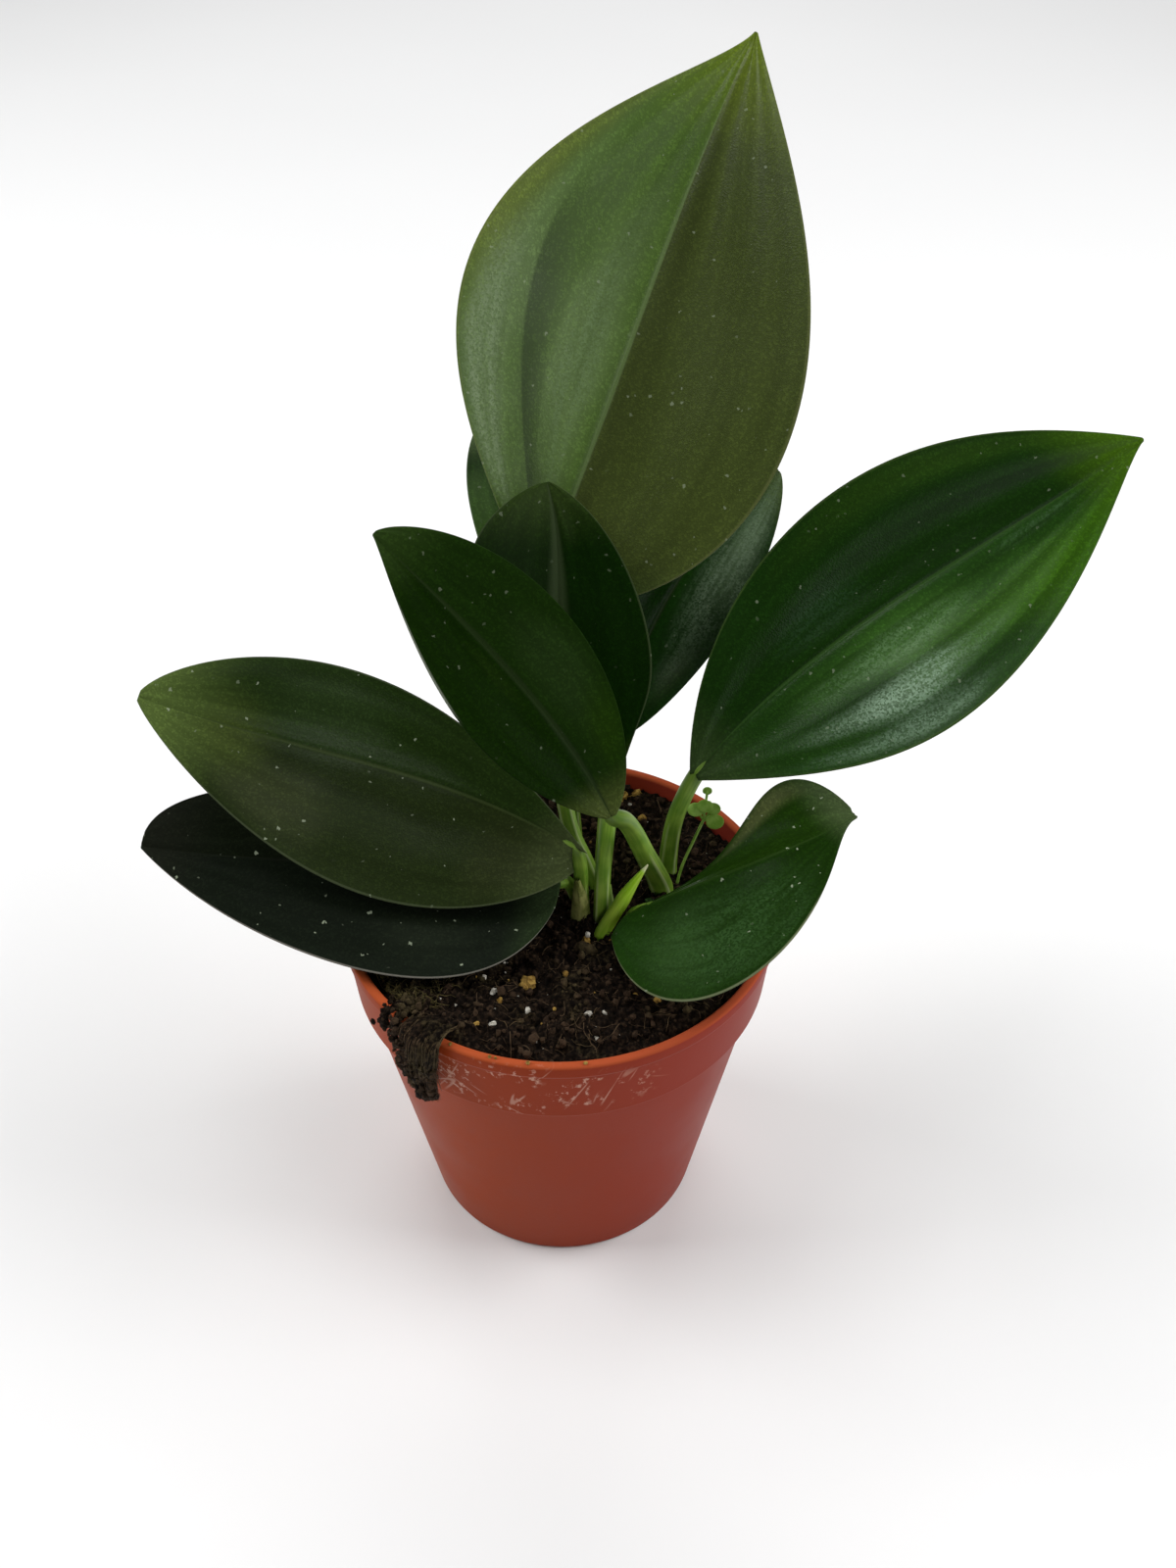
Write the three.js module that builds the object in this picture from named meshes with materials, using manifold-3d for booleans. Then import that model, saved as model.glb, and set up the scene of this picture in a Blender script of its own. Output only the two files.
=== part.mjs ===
// Dark form Scindapsus treubii in its 9 cm nursery pot.
// Millimetres, +Z up. The origin is the middle of the pot's underside, and the photo looks along +Y.
import * as THREE from "three";
import { mergeVertices } from "three/addons/utils/BufferGeometryUtils.js";
import Module from "manifold-3d";

const wasm = await Module();
wasm.setup();

// Driving dimensions
const POT_HEIGHT = 80;
const RIM_RADIUS = 45;
const BAND_HEIGHT = 16.5;
const FOOT_RADIUS = 30.5;
const POT_WALL = 1.2;
const FLOOR_HEIGHT = 2.5;
const SOIL_LEVEL = 77.8;
const HOLE_FLOOR = 68;
const CLEARANCE = 0.3;
const BLADE_THICKNESS = 0.8;
const POT_SIDES = 52;

const MATERIALS = {
  leaf: new THREE.MeshStandardMaterial({ color: 0x1f3d18, roughness: 0.45, metalness: 0 }),
  shoot: new THREE.MeshStandardMaterial({ color: 0x78a51e, roughness: 0.5, metalness: 0 }),
  sheath: new THREE.MeshStandardMaterial({ color: 0x8c8560, roughness: 0.8, metalness: 0 }),
  seedling: new THREE.MeshStandardMaterial({ color: 0x7f9a4a, roughness: 0.6, metalness: 0 }),
  soil: new THREE.MeshStandardMaterial({ color: 0x221a15, roughness: 1, metalness: 0 }),
  pot: new THREE.MeshStandardMaterial({ color: 0xa04a30, roughness: 0.6, metalness: 0 }),
};

// One entry a leaf. base, tip: the two ends of the blade's midrib. face: the way the upper face looks.
// width: across the widest place, of which the share `left` lies left of the midrib, seen from above.
// full, point: the exponents that round each side [left, right] off towards the base and the tip.
// fold: degrees that each side rises from the midrib; foldChange: how much the left fold opens to the tip.
// bow: the midrib's arch, moved towards the tip by bowShift; bend: the midrib's sideways [arc, S curve].
// twist: degrees from base to tip; roll: how far each side curls up; ripple: height of the long waves.
// lobe: how far each side reaches back past the stalk, with lobeShape for a square or a sloping lobe.
// foot: where the stalk leaves the soil; via: points on its way; stalk: its [lowest, highest] radius.
// wing: the two ends of the sheath's free edge, which widens a stalk on one side near the soil.
const LEAVES = {
  leaf_1: {
    base: [-6, 43, 125.5], tip: [41, 118.5, 216.5], face: [0.05, -0.76, 0.65],
    width: 75.5, left: 0.49, full: [1.22, 0.61], point: [1.4, 1.05], fold: [12, 16],
    bow: 2, bend: [-0.5, -1.5], ripple: 0.9,
    foot: [7.4, 4.8], via: [[5.2, 7, 84], [2.4, 9, 90.5], [0.4, 14, 98.5], [-2.8, 30, 114]],
    stalk: [1.6, 1.8],
  },
  leaf_2: {
    base: [27, 11.5, 103], tip: [123, 66.5, 150], face: [-0.15, -0.62, 0.75],
    width: 55, left: 0.47, full: [0.96, 0.91], point: [0.96, 1.34], fold: [12, 12],
    bow: 3, bend: [-3, 4], lobe: [0.5, 0.5], ripple: 0.7,
    foot: [22.8, 12.4], via: [[24, 11.8, 92]], stalk: [2, 1.6],
  },
  leaf_3: {
    base: [10, 7.5, 101.5], tip: [-2.5, 48.5, 150], face: [0.1, -0.85, 0.5],
    width: 37.5, left: 0.5, full: [1.1, 0.69], point: [0.54, 0.92], fold: [16, 14],
    bow: -1, bend: [-4, 5.5], twist: 4, ripple: 0.3,
    foot: [8.6, -4.6], via: [[8.8, -2.6, 89]], stalk: [1.7, 1.55],
    wing: [[10.9, -4.1, 77], [9.9, -2.9, 86.5]],
  },
  leaf_4: {
    base: [10.5, -7.5, 108.5], tip: [-35.5, 27.5, 150.5], face: [0.05, -0.8, 0.6],
    width: 29.5, left: 0.47, full: [0.8, 0.76], point: [1.18, 0.71], fold: [12, 14],
    bow: 2, bend: [3, -1.5], ripple: 0.3,
    foot: [21.2, 5.4], via: [[17.6, 2, 90], [13, -3.6, 104.5]], stalk: [2.5, 1.7],
  },
  leaf_5: {
    base: [3.5, -6, 99.5], tip: [-85, 19.5, 117.5], face: [0, -0.5, 0.87],
    width: 45, left: 0.59, full: [0.54, 1.16], point: [0.8, 0.68], fold: [6, 8],
    bow: -7, bowShift: 0.5, bend: [4.5, -2], twist: 24, lobe: [3, 3], ripple: 0.4,
    foot: [4.5, -2.2], via: [[4.4, -3.2, 86], [4.2, -4.6, 94]], stalk: [1.7, 1.3],
  },
  leaf_6: {
    base: [1, -6, 90.5], tip: [-86, 4.5, 90.5], face: [-0.05, -0.38, 0.92],
    width: 41, left: 0.59, full: [0.46, 0.41], point: [0.98, 0.39], fold: [5, 16],
    bow: 0, bend: [0, -2], twist: 6, ripple: 0.3,
    foot: [3.2, 2.4], via: [[2.2, 0.6, 83], [0.8, -2.8, 88]], stalk: [1.4, 1.2],
  },
  leaf_7: {
    base: [17.5, -11.6, 89.7], tip: [59.4, 1.7, 101.1], face: [0.05, -0.5, 0.87],
    width: 41.3, left: 0.4, full: [1.4, 0.62], point: [0.59, 1.83], fold: [-51.2, 19.5], foldChange: 60,
    bow: 8.3, bend: [2.5, 0.7], roll: [0.5, 0.14], lobe: [2, 9.7], lobeShape: 0.25, ripple: 0.2,
    foot: [14.4, -5.2], via: [[15.1, -8, 83.4]], stalk: [1.4, 1.2],
  },
  leaf_8: {
    base: [12, 30, 102], tip: [48.5, 80, 135], face: [0, -0.75, 0.65],
    width: 30, left: 0.5, full: [0.66, 0.66], point: [0.72, 0.72], fold: [12, 12],
    bow: 2, bend: [-5.5, 0], lobe: [3, 3], ripple: 0.3,
    foot: [8.7, 11], via: [[9.4, 15.5, 90]], stalk: [1.5, 1.2],
  },
  leaf_9: {
    base: [-4, 42, 99.5], tip: [-11, 102.5, 143], face: [-0.1, -0.8, 0.6],
    width: 35.5, left: 0.5, full: [0.92, 0.92], point: [0.52, 0.52], fold: [12, 12],
    bow: 2, bend: [6, 0], lobe: [3, 3], ripple: 0.3,
    foot: [3, 22], via: [[1.8, 27, 88]], stalk: [1.5, 1.2],
  },
};
const BLADE_COLUMNS = 10;
const BLADE_ROWS = 14;
const BLADE_START = 0.006;
const BLADE_END = 0.997;
const STALK_STEPS = 12;
const RIB_REACH = 0.08;

// The crowd of pale crumbs on the peat: [x, y, radius], seen in the photo.
const LARGE_CRUMBS = [
  [-5.8, -21.5, 1.7], [-12.6, -24.9, 1], [-14.9, -21, 0.9], [-12.2, -33.2, 0.9], [-5.9, -30.2, 0.9],
  [5.8, -30.2, 0.9], [9, -29.7, 0.8], [7.5, -35.6, 0.8], [4.4, -10.6, 1.5], [5.4, -13.4, 1.7],
  [16.6, 36.8, 1.7], [13.8, 35, 1.5], [12.6, 37.8, 1.2], [17.8, 28.3, 1.1], [-0.8, 6.4, 1],
];
const SMALL_CRUMBS = 34;

// Small numbers of the shapes that follow
const RADIANS = Math.PI / 180;
const vector = (list) => new THREE.Vector3(...list);

// A repeatable stream of numbers from 0 to 1
function seeded(seed) {
  let state = seed;
  return () => {
    state = (state * 1664525 + 1013904223) % 4294967296;
    return state / 4294967296;
  };
}

// Geometry to manifold-3d and back
function solid(geometry) {
  const bare = geometry.index ? geometry.toNonIndexed() : geometry.clone();
  bare.deleteAttribute("normal");
  bare.deleteAttribute("uv");
  const merged = mergeVertices(bare, 1e-4);
  const mesh = new wasm.Mesh({
    numProp: 3,
    vertProperties: merged.attributes.position.array,
    triVerts: new Uint32Array(merged.index.array),
  });
  return new wasm.Manifold(mesh);
}

function surface(made) {
  const mesh = made.getMesh();
  const positions = new Float32Array(mesh.numVert * 3);
  for (let i = 0; i < mesh.numVert; i += 1) {
    positions.set(mesh.vertProperties.subarray(i * mesh.numProp, i * mesh.numProp + 3), i * 3);
  }
  return new THREE.BufferGeometry()
    .setAttribute("position", new THREE.BufferAttribute(positions, 3))
    .setIndex(new THREE.BufferAttribute(mesh.triVerts, 1));
}

// The largest body of a solid, without the scraps that a cut left loose and without sliver faces
function tidied(made) {
  const bodies = made.simplify(0.01).decompose();
  return bodies.sort((a, b) => b.volume() - a.volume())[0];
}

// A closed skin over rows of points: rows of equal length are joined, and the two ends are capped by a fan.
function skin(rows) {
  const count = rows[0].length;
  const positions = rows.flat().flatMap((p) => [p.x, p.y, p.z]);
  const triangles = [];
  for (let i = 0; i + 1 < rows.length; i += 1) {
    for (let j = 0; j < count; j += 1) {
      const a = i * count + j;
      const b = i * count + ((j + 1) % count);
      triangles.push(a, b, b + count, a, b + count, a + count);
    }
  }
  for (const end of [0, rows.length - 1]) {
    const middle = rows[end].reduce((sum, p) => sum.add(p), new THREE.Vector3()).divideScalar(count);
    const index = positions.length / 3;
    positions.push(middle.x, middle.y, middle.z);
    for (let j = 0; j < count; j += 1) {
      const a = end * count + j;
      const b = end * count + ((j + 1) % count);
      triangles.push(...(end ? [index, a, b] : [index, b, a]));
    }
  }
  return new THREE.BufferGeometry()
    .setAttribute("position", new THREE.Float32BufferAttribute(positions, 3))
    .setIndex(triangles);
}

// A round stalk along a curve, with its radius given along the way, closed at both ends
function stalkSkin(curve, steps, sides, radiusAt) {
  const frames = curve.computeFrenetFrames(steps, false);
  const rows = [];
  for (let i = 0; i <= steps; i += 1) {
    const centre = curve.getPointAt(i / steps);
    const ring = [];
    for (let j = 0; j < sides; j += 1) {
      const angle = (2 * Math.PI * j) / sides;
      const out = frames.normals[i].clone().multiplyScalar(Math.cos(angle));
      out.addScaledVector(frames.binormals[i], Math.sin(angle));
      ring.push(centre.clone().addScaledVector(out, radiusAt(i / steps)));
    }
    rows.push(ring);
  }
  return skin(rows);
}

// A point of a blade's middle surface: u runs from the left margin, -1, to the right one, 1, and v from
// the base to the tip. The same formula draws the fine blades of the finished picture.
function bladeFrame(leaf) {
  const base = vector(leaf.base);
  const axis = vector(leaf.tip).sub(base);
  const along = axis.clone().normalize();
  const face = vector(leaf.face);
  const up = face.addScaledVector(along, -face.dot(along)).normalize();
  const side = new THREE.Vector3().crossVectors(along, up);
  return { base, axis, along, up, side };
}

function midribPoint(leaf, frame, v) {
  const arch = 4 * v * (1 - v);
  const shift = 2 * v - 1;
  return frame.base
    .clone()
    .addScaledVector(frame.axis, v)
    .addScaledVector(frame.up, leaf.bow * arch * (1 + (leaf.bowShift ?? 0) * shift))
    .addScaledVector(frame.side, arch * (leaf.bend[0] + leaf.bend[1] * shift));
}

function halfWidth(leaf, k, v) {
  const full = leaf.full[k];
  const point = leaf.point[k];
  const widest = full / (full + point);
  const share = k ? 1 - leaf.left : leaf.left;
  return (leaf.width * share * v ** full * (1 - v) ** point) / (widest ** full * (1 - widest) ** point);
}

function bladePoint(leaf, u, t) {
  const v = BLADE_START + (BLADE_END - BLADE_START) * t;
  const k = u < 0 ? 0 : 1;
  const frame = bladeFrame(leaf);
  const step = 0.001;
  const along = midribPoint(leaf, frame, v + step).sub(midribPoint(leaf, frame, v - step)).normalize();
  const up = frame.up.clone().applyAxisAngle(frame.along, (leaf.twist ?? 0) * RADIANS * (v - 0.5));
  up.addScaledVector(along, -up.dot(along)).normalize();
  const side = new THREE.Vector3().crossVectors(along, up);
  const width = halfWidth(leaf, k, v);
  const change = k ? 0 : (leaf.foldChange ?? 0) * (v - 0.5);
  const fold = (leaf.fold[k] + change) * RADIANS;
  const far = Math.abs(u);
  const rise = width * far * Math.sin(fold) + width * (leaf.roll ?? [0, 0])[k] * far ** 2;
  const wave = leaf.ripple * Math.sin(Math.PI * v) * Math.cos(3 * Math.PI * u) * (1 - far ** 2);
  const lobe = (leaf.lobe ?? [0, 0])[k] * far ** (leaf.lobeShape ?? 2) * (1 - v) ** 6;
  return midribPoint(leaf, frame, v)
    .addScaledVector(side, width * u * Math.cos(fold))
    .addScaledVector(up, rise + wave)
    .addScaledVector(along, -lobe);
}

function bladeNormal(leaf, u, t) {
  const h = 0.01;
  const low = Math.max(-1, u - h);
  const high = Math.min(1, u + h);
  const across = bladePoint(leaf, high, t).sub(bladePoint(leaf, low, t));
  const start = Math.max(0, t - h);
  const end = Math.min(1, t + h);
  const along = bladePoint(leaf, u, end).sub(bladePoint(leaf, u, start));
  return across.cross(along).normalize();
}

// Each row of the blade's skin runs over the upper face from left to right and back under it.
// The rows stand closer together at the rounded ends.
function bladeSkin(leaf) {
  const rows = [];
  for (let i = 0; i <= BLADE_ROWS; i += 1) {
    const even = i / BLADE_ROWS;
    const t = 0.5 * even + 0.25 * (1 - Math.cos(Math.PI * even));
    const upper = [];
    const lower = [];
    for (let j = 0; j <= BLADE_COLUMNS; j += 1) {
      const u = (2 * j) / BLADE_COLUMNS - 1;
      const point = bladePoint(leaf, u, t);
      const normal = bladeNormal(leaf, u, t);
      const rib = j * 2 === BLADE_COLUMNS ? 0.7 * (1 - t) : 0;
      upper.push(point.clone().addScaledVector(normal, BLADE_THICKNESS / 2));
      lower.unshift(point.clone().addScaledVector(normal, -BLADE_THICKNESS / 2 - rib));
    }
    rows.push([...upper, ...lower]);
  }
  return rows;
}

// The two faces of a waved blade are split alike, so the skin's rows are joined column by column.
function bladeSolid(leaf) {
  const rows = bladeSkin(leaf);
  const columns = BLADE_COLUMNS + 1;
  const count = 2 * columns;
  const positions = rows.flat().flatMap((p) => [p.x, p.y, p.z]);
  const triangles = [];
  const quad = (a, b, c, d) => triangles.push(a, b, c, a, c, d);
  for (let i = 0; i < BLADE_ROWS; i += 1) {
    const here = i * count;
    const next = here + count;
    for (let j = 0; j < BLADE_COLUMNS; j += 1) {
      const under = count - 1 - j;
      quad(here + j, here + j + 1, next + j + 1, next + j);
      quad(next + under - 1, here + under - 1, here + under, next + under);
    }
    quad(here + columns - 1, here + columns, next + columns, next + columns - 1);
    quad(here + count - 1, here, next, next + count - 1);
  }
  for (let j = 0; j < BLADE_COLUMNS; j += 1) {
    const under = count - 1 - j;
    const last = BLADE_ROWS * count;
    quad(j + 1, j, under, under - 1);
    quad(last + j, last + j + 1, last + under - 1, last + under);
  }
  const geometry = new THREE.BufferGeometry()
    .setAttribute("position", new THREE.Float32BufferAttribute(positions, 3))
    .setIndex(triangles);
  return solid(geometry);
}

// The stalk goes straight down into its hole, and up through its points. It tapers under the blade's base
// into the midrib.
function stalkCurve(leaf) {
  const [x, y] = leaf.foot;
  const points = [[x, y, HOLE_FLOOR], [x, y, 74], [x, y, SOIL_LEVEL], ...leaf.via].map(vector);
  const under = (t, depth) => bladePoint(leaf, 0, t).addScaledVector(bladeNormal(leaf, 0, t), -depth);
  const top = [under(0, 0.45 * leaf.stalk[1]), under(RIB_REACH, 0.6)];
  return new THREE.CatmullRomCurve3([...points, ...top], false, "centripetal");
}

function stalkRadius(leaf, t, extra = 0) {
  const [low, high] = leaf.stalk;
  const sheath = 0.2 * low * Math.max(0, 1 - t / 0.5) ** 2;
  const taper = Math.min(1, 0.4 + 4 * (1 - t));
  return (low + (high - low) * t + sheath) * taper + extra;
}

function stalkSolid(leaf, extra = 0) {
  return solid(stalkSkin(stalkCurve(leaf), STALK_STEPS, 8, (t) => stalkRadius(leaf, t, extra)));
}

function wingSolid(leaf, extra = 0) {
  const [low, high] = leaf.wing.map(vector);
  const foot = new THREE.Vector3(low.x, low.y, HOLE_FLOOR + 1.5);
  const curve = new THREE.CatmullRomCurve3([foot, low, high], false, "centripetal");
  return solid(stalkSkin(curve, 4, 6, (t) => 1.1 - 0.5 * t + extra));
}

// A leaf's stalk with its sheath, also used a little wider as the hole that it stands in
function footSolid(leaf, extra = 0) {
  const stalk = stalkSolid(leaf, extra);
  return leaf.wing ? stalk.add(wingSolid(leaf, extra)) : stalk;
}

function leafSolid(leaf) {
  return bladeSolid(leaf).add(footSolid(leaf));
}

// New shoot: the rolled spear of the next leaf, lime green, swollen in the middle and pointed
const SHOOT = {
  foot: [8.3, -8.9],
  via: [[12, -7, 84.6], [14.8, -4.9, 88.6]],
  tip: [17.8, -2.7, 92],
  radius: 1.45,
};

function shootSolid(extra = 0) {
  const [x, y] = SHOOT.foot;
  const points = [[x, y, HOLE_FLOOR], [x, y, 74], [x, y, SOIL_LEVEL], ...SHOOT.via, SHOOT.tip];
  const curve = new THREE.CatmullRomCurve3(points.map(vector), false, "centripetal");
  const taper = (t) => SHOOT.radius * Math.min(1, 0.12 + 3.2 * (1 - t)) + extra;
  return solid(stalkSkin(curve, 14, 8, taper));
}

// Old sheath: a dry leaf sheath, a thin trough standing before the stalk of leaf 5
const SHEATH = { foot: [4.3, -5.5], top: [3.7, -6.6, 91], width: 4.4, depth: 1.5, thickness: 0.7 };

function sheathSolid(extra = 0) {
  const [x, y] = SHEATH.foot;
  const points = [[x, y, HOLE_FLOOR], [x, y, SOIL_LEVEL], [x - 0.1, y - 0.4, 84], SHEATH.top];
  const curve = new THREE.CatmullRomCurve3(points.map(vector), false, "centripetal");
  const rows = [];
  for (let i = 0; i <= 8; i += 1) {
    const t = i / 8;
    const centre = curve.getPointAt(t);
    const taper = 1 - 0.75 * t ** 3;
    const half = (SHEATH.width / 2) * taper;
    const outer = [];
    const inner = [];
    for (let j = 0; j <= 6; j += 1) {
      const w = j / 3 - 1;
      const thick = SHEATH.thickness / 2 + extra;
      const across = w * (half + extra);
      const deep = SHEATH.depth * taper * (across / half) ** 2;
      outer.push(centre.clone().add(new THREE.Vector3(across, deep - thick, 0)));
      inner.unshift(centre.clone().add(new THREE.Vector3(across, deep + thick, 0)));
    }
    rows.push([...outer, ...inner]);
  }
  return solid(skin(rows));
}

// Weed seedling: a thread of a stem with four round leaflets and one more on its own thread
const SEEDLING = {
  foot: [24.6, 7.4],
  via: [[25.6, 8.2, 81.5], [27.6, 10.2, 86]],
  top: [30, 13.6, 89.6],
  radius: 0.4,
  leaflets: [
    [28.4, 15, 91.2, 1.6], [30.3, 15.3, 91.9, 1.5], [32, 15, 91.4, 1.4], [32.3, 12.9, 89.7, 1.7],
    [31, 19.4, 92.6, 0.9],
  ],
};

function seedlingSolid() {
  const [x, y] = SEEDLING.foot;
  const points = [[x, y, 74.5], [x, y, 76.5], ...SEEDLING.via, SEEDLING.top];
  const curve = new THREE.CatmullRomCurve3(points.map(vector), false, "centripetal");
  let made = solid(stalkSkin(curve, 12, 6, () => SEEDLING.radius));
  for (const [lx, ly, lz, r] of SEEDLING.leaflets) {
    const disc = new THREE.SphereGeometry(r, 8, 4);
    disc.scale(1.15, 0.95, 0.35 / r);
    disc.rotateX(38 * RADIANS);
    disc.translate(lx, ly, lz);
    const stem = new THREE.LineCurve3(vector(SEEDLING.top), new THREE.Vector3(lx, ly, lz));
    made = made.add(solid(disc)).add(solid(stalkSkin(stem, 1, 6, () => SEEDLING.radius * 0.9)));
  }
  return made;
}

// The pot: a thin wall with a lip, a rim band, a step, and a floor on a foot ring and a central pad
const BAND_FOOT_RADIUS = RIM_RADIUS - 1.6;
const BODY_RADIUS = BAND_FOOT_RADIUS - 1.6;
const LIP_WIDTH = 2;
const DRAIN_HOLES = 6;

function bodyRadius(z) {
  const step = POT_HEIGHT - BAND_HEIGHT;
  return FOOT_RADIUS + ((BODY_RADIUS - FOOT_RADIUS) * z) / step;
}

function innerRadius(z) {
  const step = POT_HEIGHT - BAND_HEIGHT;
  if (z < step) return bodyRadius(z) - POT_WALL;
  const share = (z - step) / BAND_HEIGHT;
  return BODY_RADIUS - POT_WALL + (RIM_RADIUS - LIP_WIDTH - BODY_RADIUS + POT_WALL) * share;
}

function potSolid() {
  const step = POT_HEIGHT - BAND_HEIGHT;
  const profile = [
    [0, 0], [7, 0], [7.6, FLOOR_HEIGHT - 1], [FOOT_RADIUS - 3.4, FLOOR_HEIGHT - 1],
    [FOOT_RADIUS - 2.8, 0], [FOOT_RADIUS - 0.5, 0], [FOOT_RADIUS, 0.5],
    [bodyRadius(step - 1), step - 1], [BAND_FOOT_RADIUS - 0.3, step], [BAND_FOOT_RADIUS, step + 0.4],
    [RIM_RADIUS - 0.5, POT_HEIGHT - 3.4], [RIM_RADIUS, POT_HEIGHT - 2.8],
    [RIM_RADIUS, POT_HEIGHT - 0.4], [RIM_RADIUS - 0.4, POT_HEIGHT],
    [RIM_RADIUS - LIP_WIDTH + 0.4, POT_HEIGHT], [innerRadius(POT_HEIGHT - 0.5), POT_HEIGHT - 0.5],
    [innerRadius(step), step], [innerRadius(FLOOR_HEIGHT), FLOOR_HEIGHT], [0, FLOOR_HEIGHT],
  ];
  const lathe = new THREE.LatheGeometry(profile.map(([r, z]) => new THREE.Vector2(r, z)), POT_SIDES);
  lathe.rotateX(Math.PI / 2);
  let made = solid(lathe);
  for (let i = 0; i < DRAIN_HOLES; i += 1) {
    const angle = ((i + 0.5) * 2 * Math.PI) / DRAIN_HOLES;
    const hole = new THREE.CylinderGeometry(3.2, 3.2, 8, 14);
    hole.rotateX(Math.PI / 2);
    hole.translate(19 * Math.cos(angle), 19 * Math.sin(angle), 2);
    made = made.subtract(solid(hole));
  }
  return made;
}

// The peat: flat to the eye, in truth heaped at the left front and hollow at the back, and lumpy all over
function soilHeight(x, y) {
  const r = Math.hypot(x, y);
  const heap = 1.7 * Math.exp(-((x + 24) ** 2 + (y + 30) ** 2) / 160);
  const hollow = -1.8 * Math.exp(-((x - 28) ** 2 + (y - 18) ** 2) / 300);
  const crown = 1.1 * Math.exp(-((x - 9) ** 2 + (y + 3) ** 2) / 120);
  const lumps = 0.55 * Math.sin(0.61 * x + 1.3) * Math.cos(0.53 * y - 0.4);
  const crumbs = 0.2 * Math.sin(1.27 * x - 0.9 * y) * Math.sin(1.13 * y + 0.35 * x + 2);
  const edge = -0.9 * Math.max(0, (r - 37) / 5) ** 2;
  return SOIL_LEVEL + heap + hollow + crown + lumps + crumbs + edge;
}

function soilBody() {
  const sides = 46;
  const rings = [4, 8, 12, 16, 20, 24, 28, 32, 36, 39.5, 41.4];
  const ring = (radius, height) => {
    const points = [];
    for (let j = 0; j < sides; j += 1) {
      const angle = (2 * Math.PI * j) / sides;
      const x = radius * Math.cos(angle);
      const y = radius * Math.sin(angle);
      points.push(new THREE.Vector3(x, y, height ?? soilHeight(x, y)));
    }
    return points;
  };
  const outer = (z) => innerRadius(z) - CLEARANCE;
  const step = POT_HEIGHT - BAND_HEIGHT;
  const rows = [ring(outer(FLOOR_HEIGHT) - 0.2, FLOOR_HEIGHT + CLEARANCE), ring(outer(step) - 0.15, step)];
  rows.push(ring(outer(74.5) - 0.1, 74.5));
  rows.push(...rings.reverse().map((radius) => ring(radius)));
  return solid(skin(rows));
}

function crumb(x, y, radius, turn) {
  const lump = new THREE.IcosahedronGeometry(radius, 0);
  lump.scale(1, 0.85, 0.8);
  lump.rotateZ(turn);
  lump.rotateX(turn * 0.7);
  lump.translate(x, y, soilHeight(x, y) - radius * 0.1);
  return solid(lump);
}

// The fibres that spill over the rim: each strand starts in the peat and hangs outside, clear of the pot.
const TUFT_STRANDS = [
  { angle: 234.5, end: 66.5, radius: 1.5 },
  { angle: 237, end: 64.8, radius: 1.5 },
  { angle: 239.5, end: 66, radius: 1.4 },
  { angle: 231.8, end: 70, radius: 1.2 },
  { angle: 228, end: 76, radius: 1.1 },
  { angle: 224.5, end: 77.5, radius: 1.1 },
];

function strandSolid({ angle, end, radius }) {
  const outside = RIM_RADIUS + CLEARANCE + radius + 0.1;
  const at = (r, z, swing = 0) => {
    const a = (angle + swing) * RADIANS;
    return new THREE.Vector3(r * Math.cos(a), r * Math.sin(a), z);
  };
  const over = POT_HEIGHT + CLEARANCE + radius + 0.15;
  const points = [at(36, 78), at(40, 79.8), at(43.2, over, 0.3), at(outside - 0.2, over - 0.5, 0.5)];
  points.push(at(outside + 0.35, POT_HEIGHT - 1.5, 0.5), at(outside + 0.15, (POT_HEIGHT + end) / 2, -0.4));
  points.push(at(outside + 0.1, end, 0.4));
  const curve = new THREE.CatmullRomCurve3(points, false, "centripetal");
  return solid(stalkSkin(curve, 10, 6, (t) => radius * (0.75 + 0.25 * Math.cos(9 * t + angle))));
}

function soilSolid() {
  const random = seeded(11);
  let made = soilBody();
  for (const [x, y, radius] of LARGE_CRUMBS) {
    made = made.add(crumb(x, y, radius, x + y));
  }
  for (let i = 0; i < SMALL_CRUMBS; i += 1) {
    const r = 37.5 * Math.sqrt(random());
    const angle = 2 * Math.PI * random();
    const radius = 0.6 + 0.7 * random() ** 2;
    made = made.add(crumb(r * Math.cos(angle), r * Math.sin(angle), radius, 6 * random()));
  }
  for (const strand of TUFT_STRANDS) {
    made = made.add(strandSolid(strand));
  }
  for (const leaf of Object.values(LEAVES)) {
    made = made.subtract(footSolid(leaf, CLEARANCE + 0.05).translate(0, 0, -CLEARANCE));
  }
  const seedlingHole = new THREE.CylinderGeometry(0.8, 0.8, 8, 10);
  seedlingHole.rotateX(Math.PI / 2);
  seedlingHole.translate(SEEDLING.foot[0], SEEDLING.foot[1], 78);
  for (const hole of [shootSolid(CLEARANCE), sheathSolid(CLEARANCE)]) {
    made = made.subtract(hole.translate(0, 0, -CLEARANCE));
  }
  made = made.subtract(solid(seedlingHole));
  return made;
}

// The scene graph
const plant = new THREE.Group();

function place(name, made, material) {
  const mesh = new THREE.Mesh(surface(tidied(made)), material);
  mesh.name = name;
  plant.add(mesh);
}

place("pot", potSolid(), MATERIALS.pot.clone());
place("soil", soilSolid(), MATERIALS.soil.clone());
for (const [name, leaf] of Object.entries(LEAVES)) {
  place(name, leafSolid(leaf), MATERIALS.leaf.clone());
}
place("new_shoot", shootSolid(), MATERIALS.shoot.clone());
place("old_sheath", sheathSolid(), MATERIALS.sheath.clone());
place("weed_seedling", seedlingSolid(), MATERIALS.seedling.clone());

export default plant;
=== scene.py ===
import math

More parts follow.
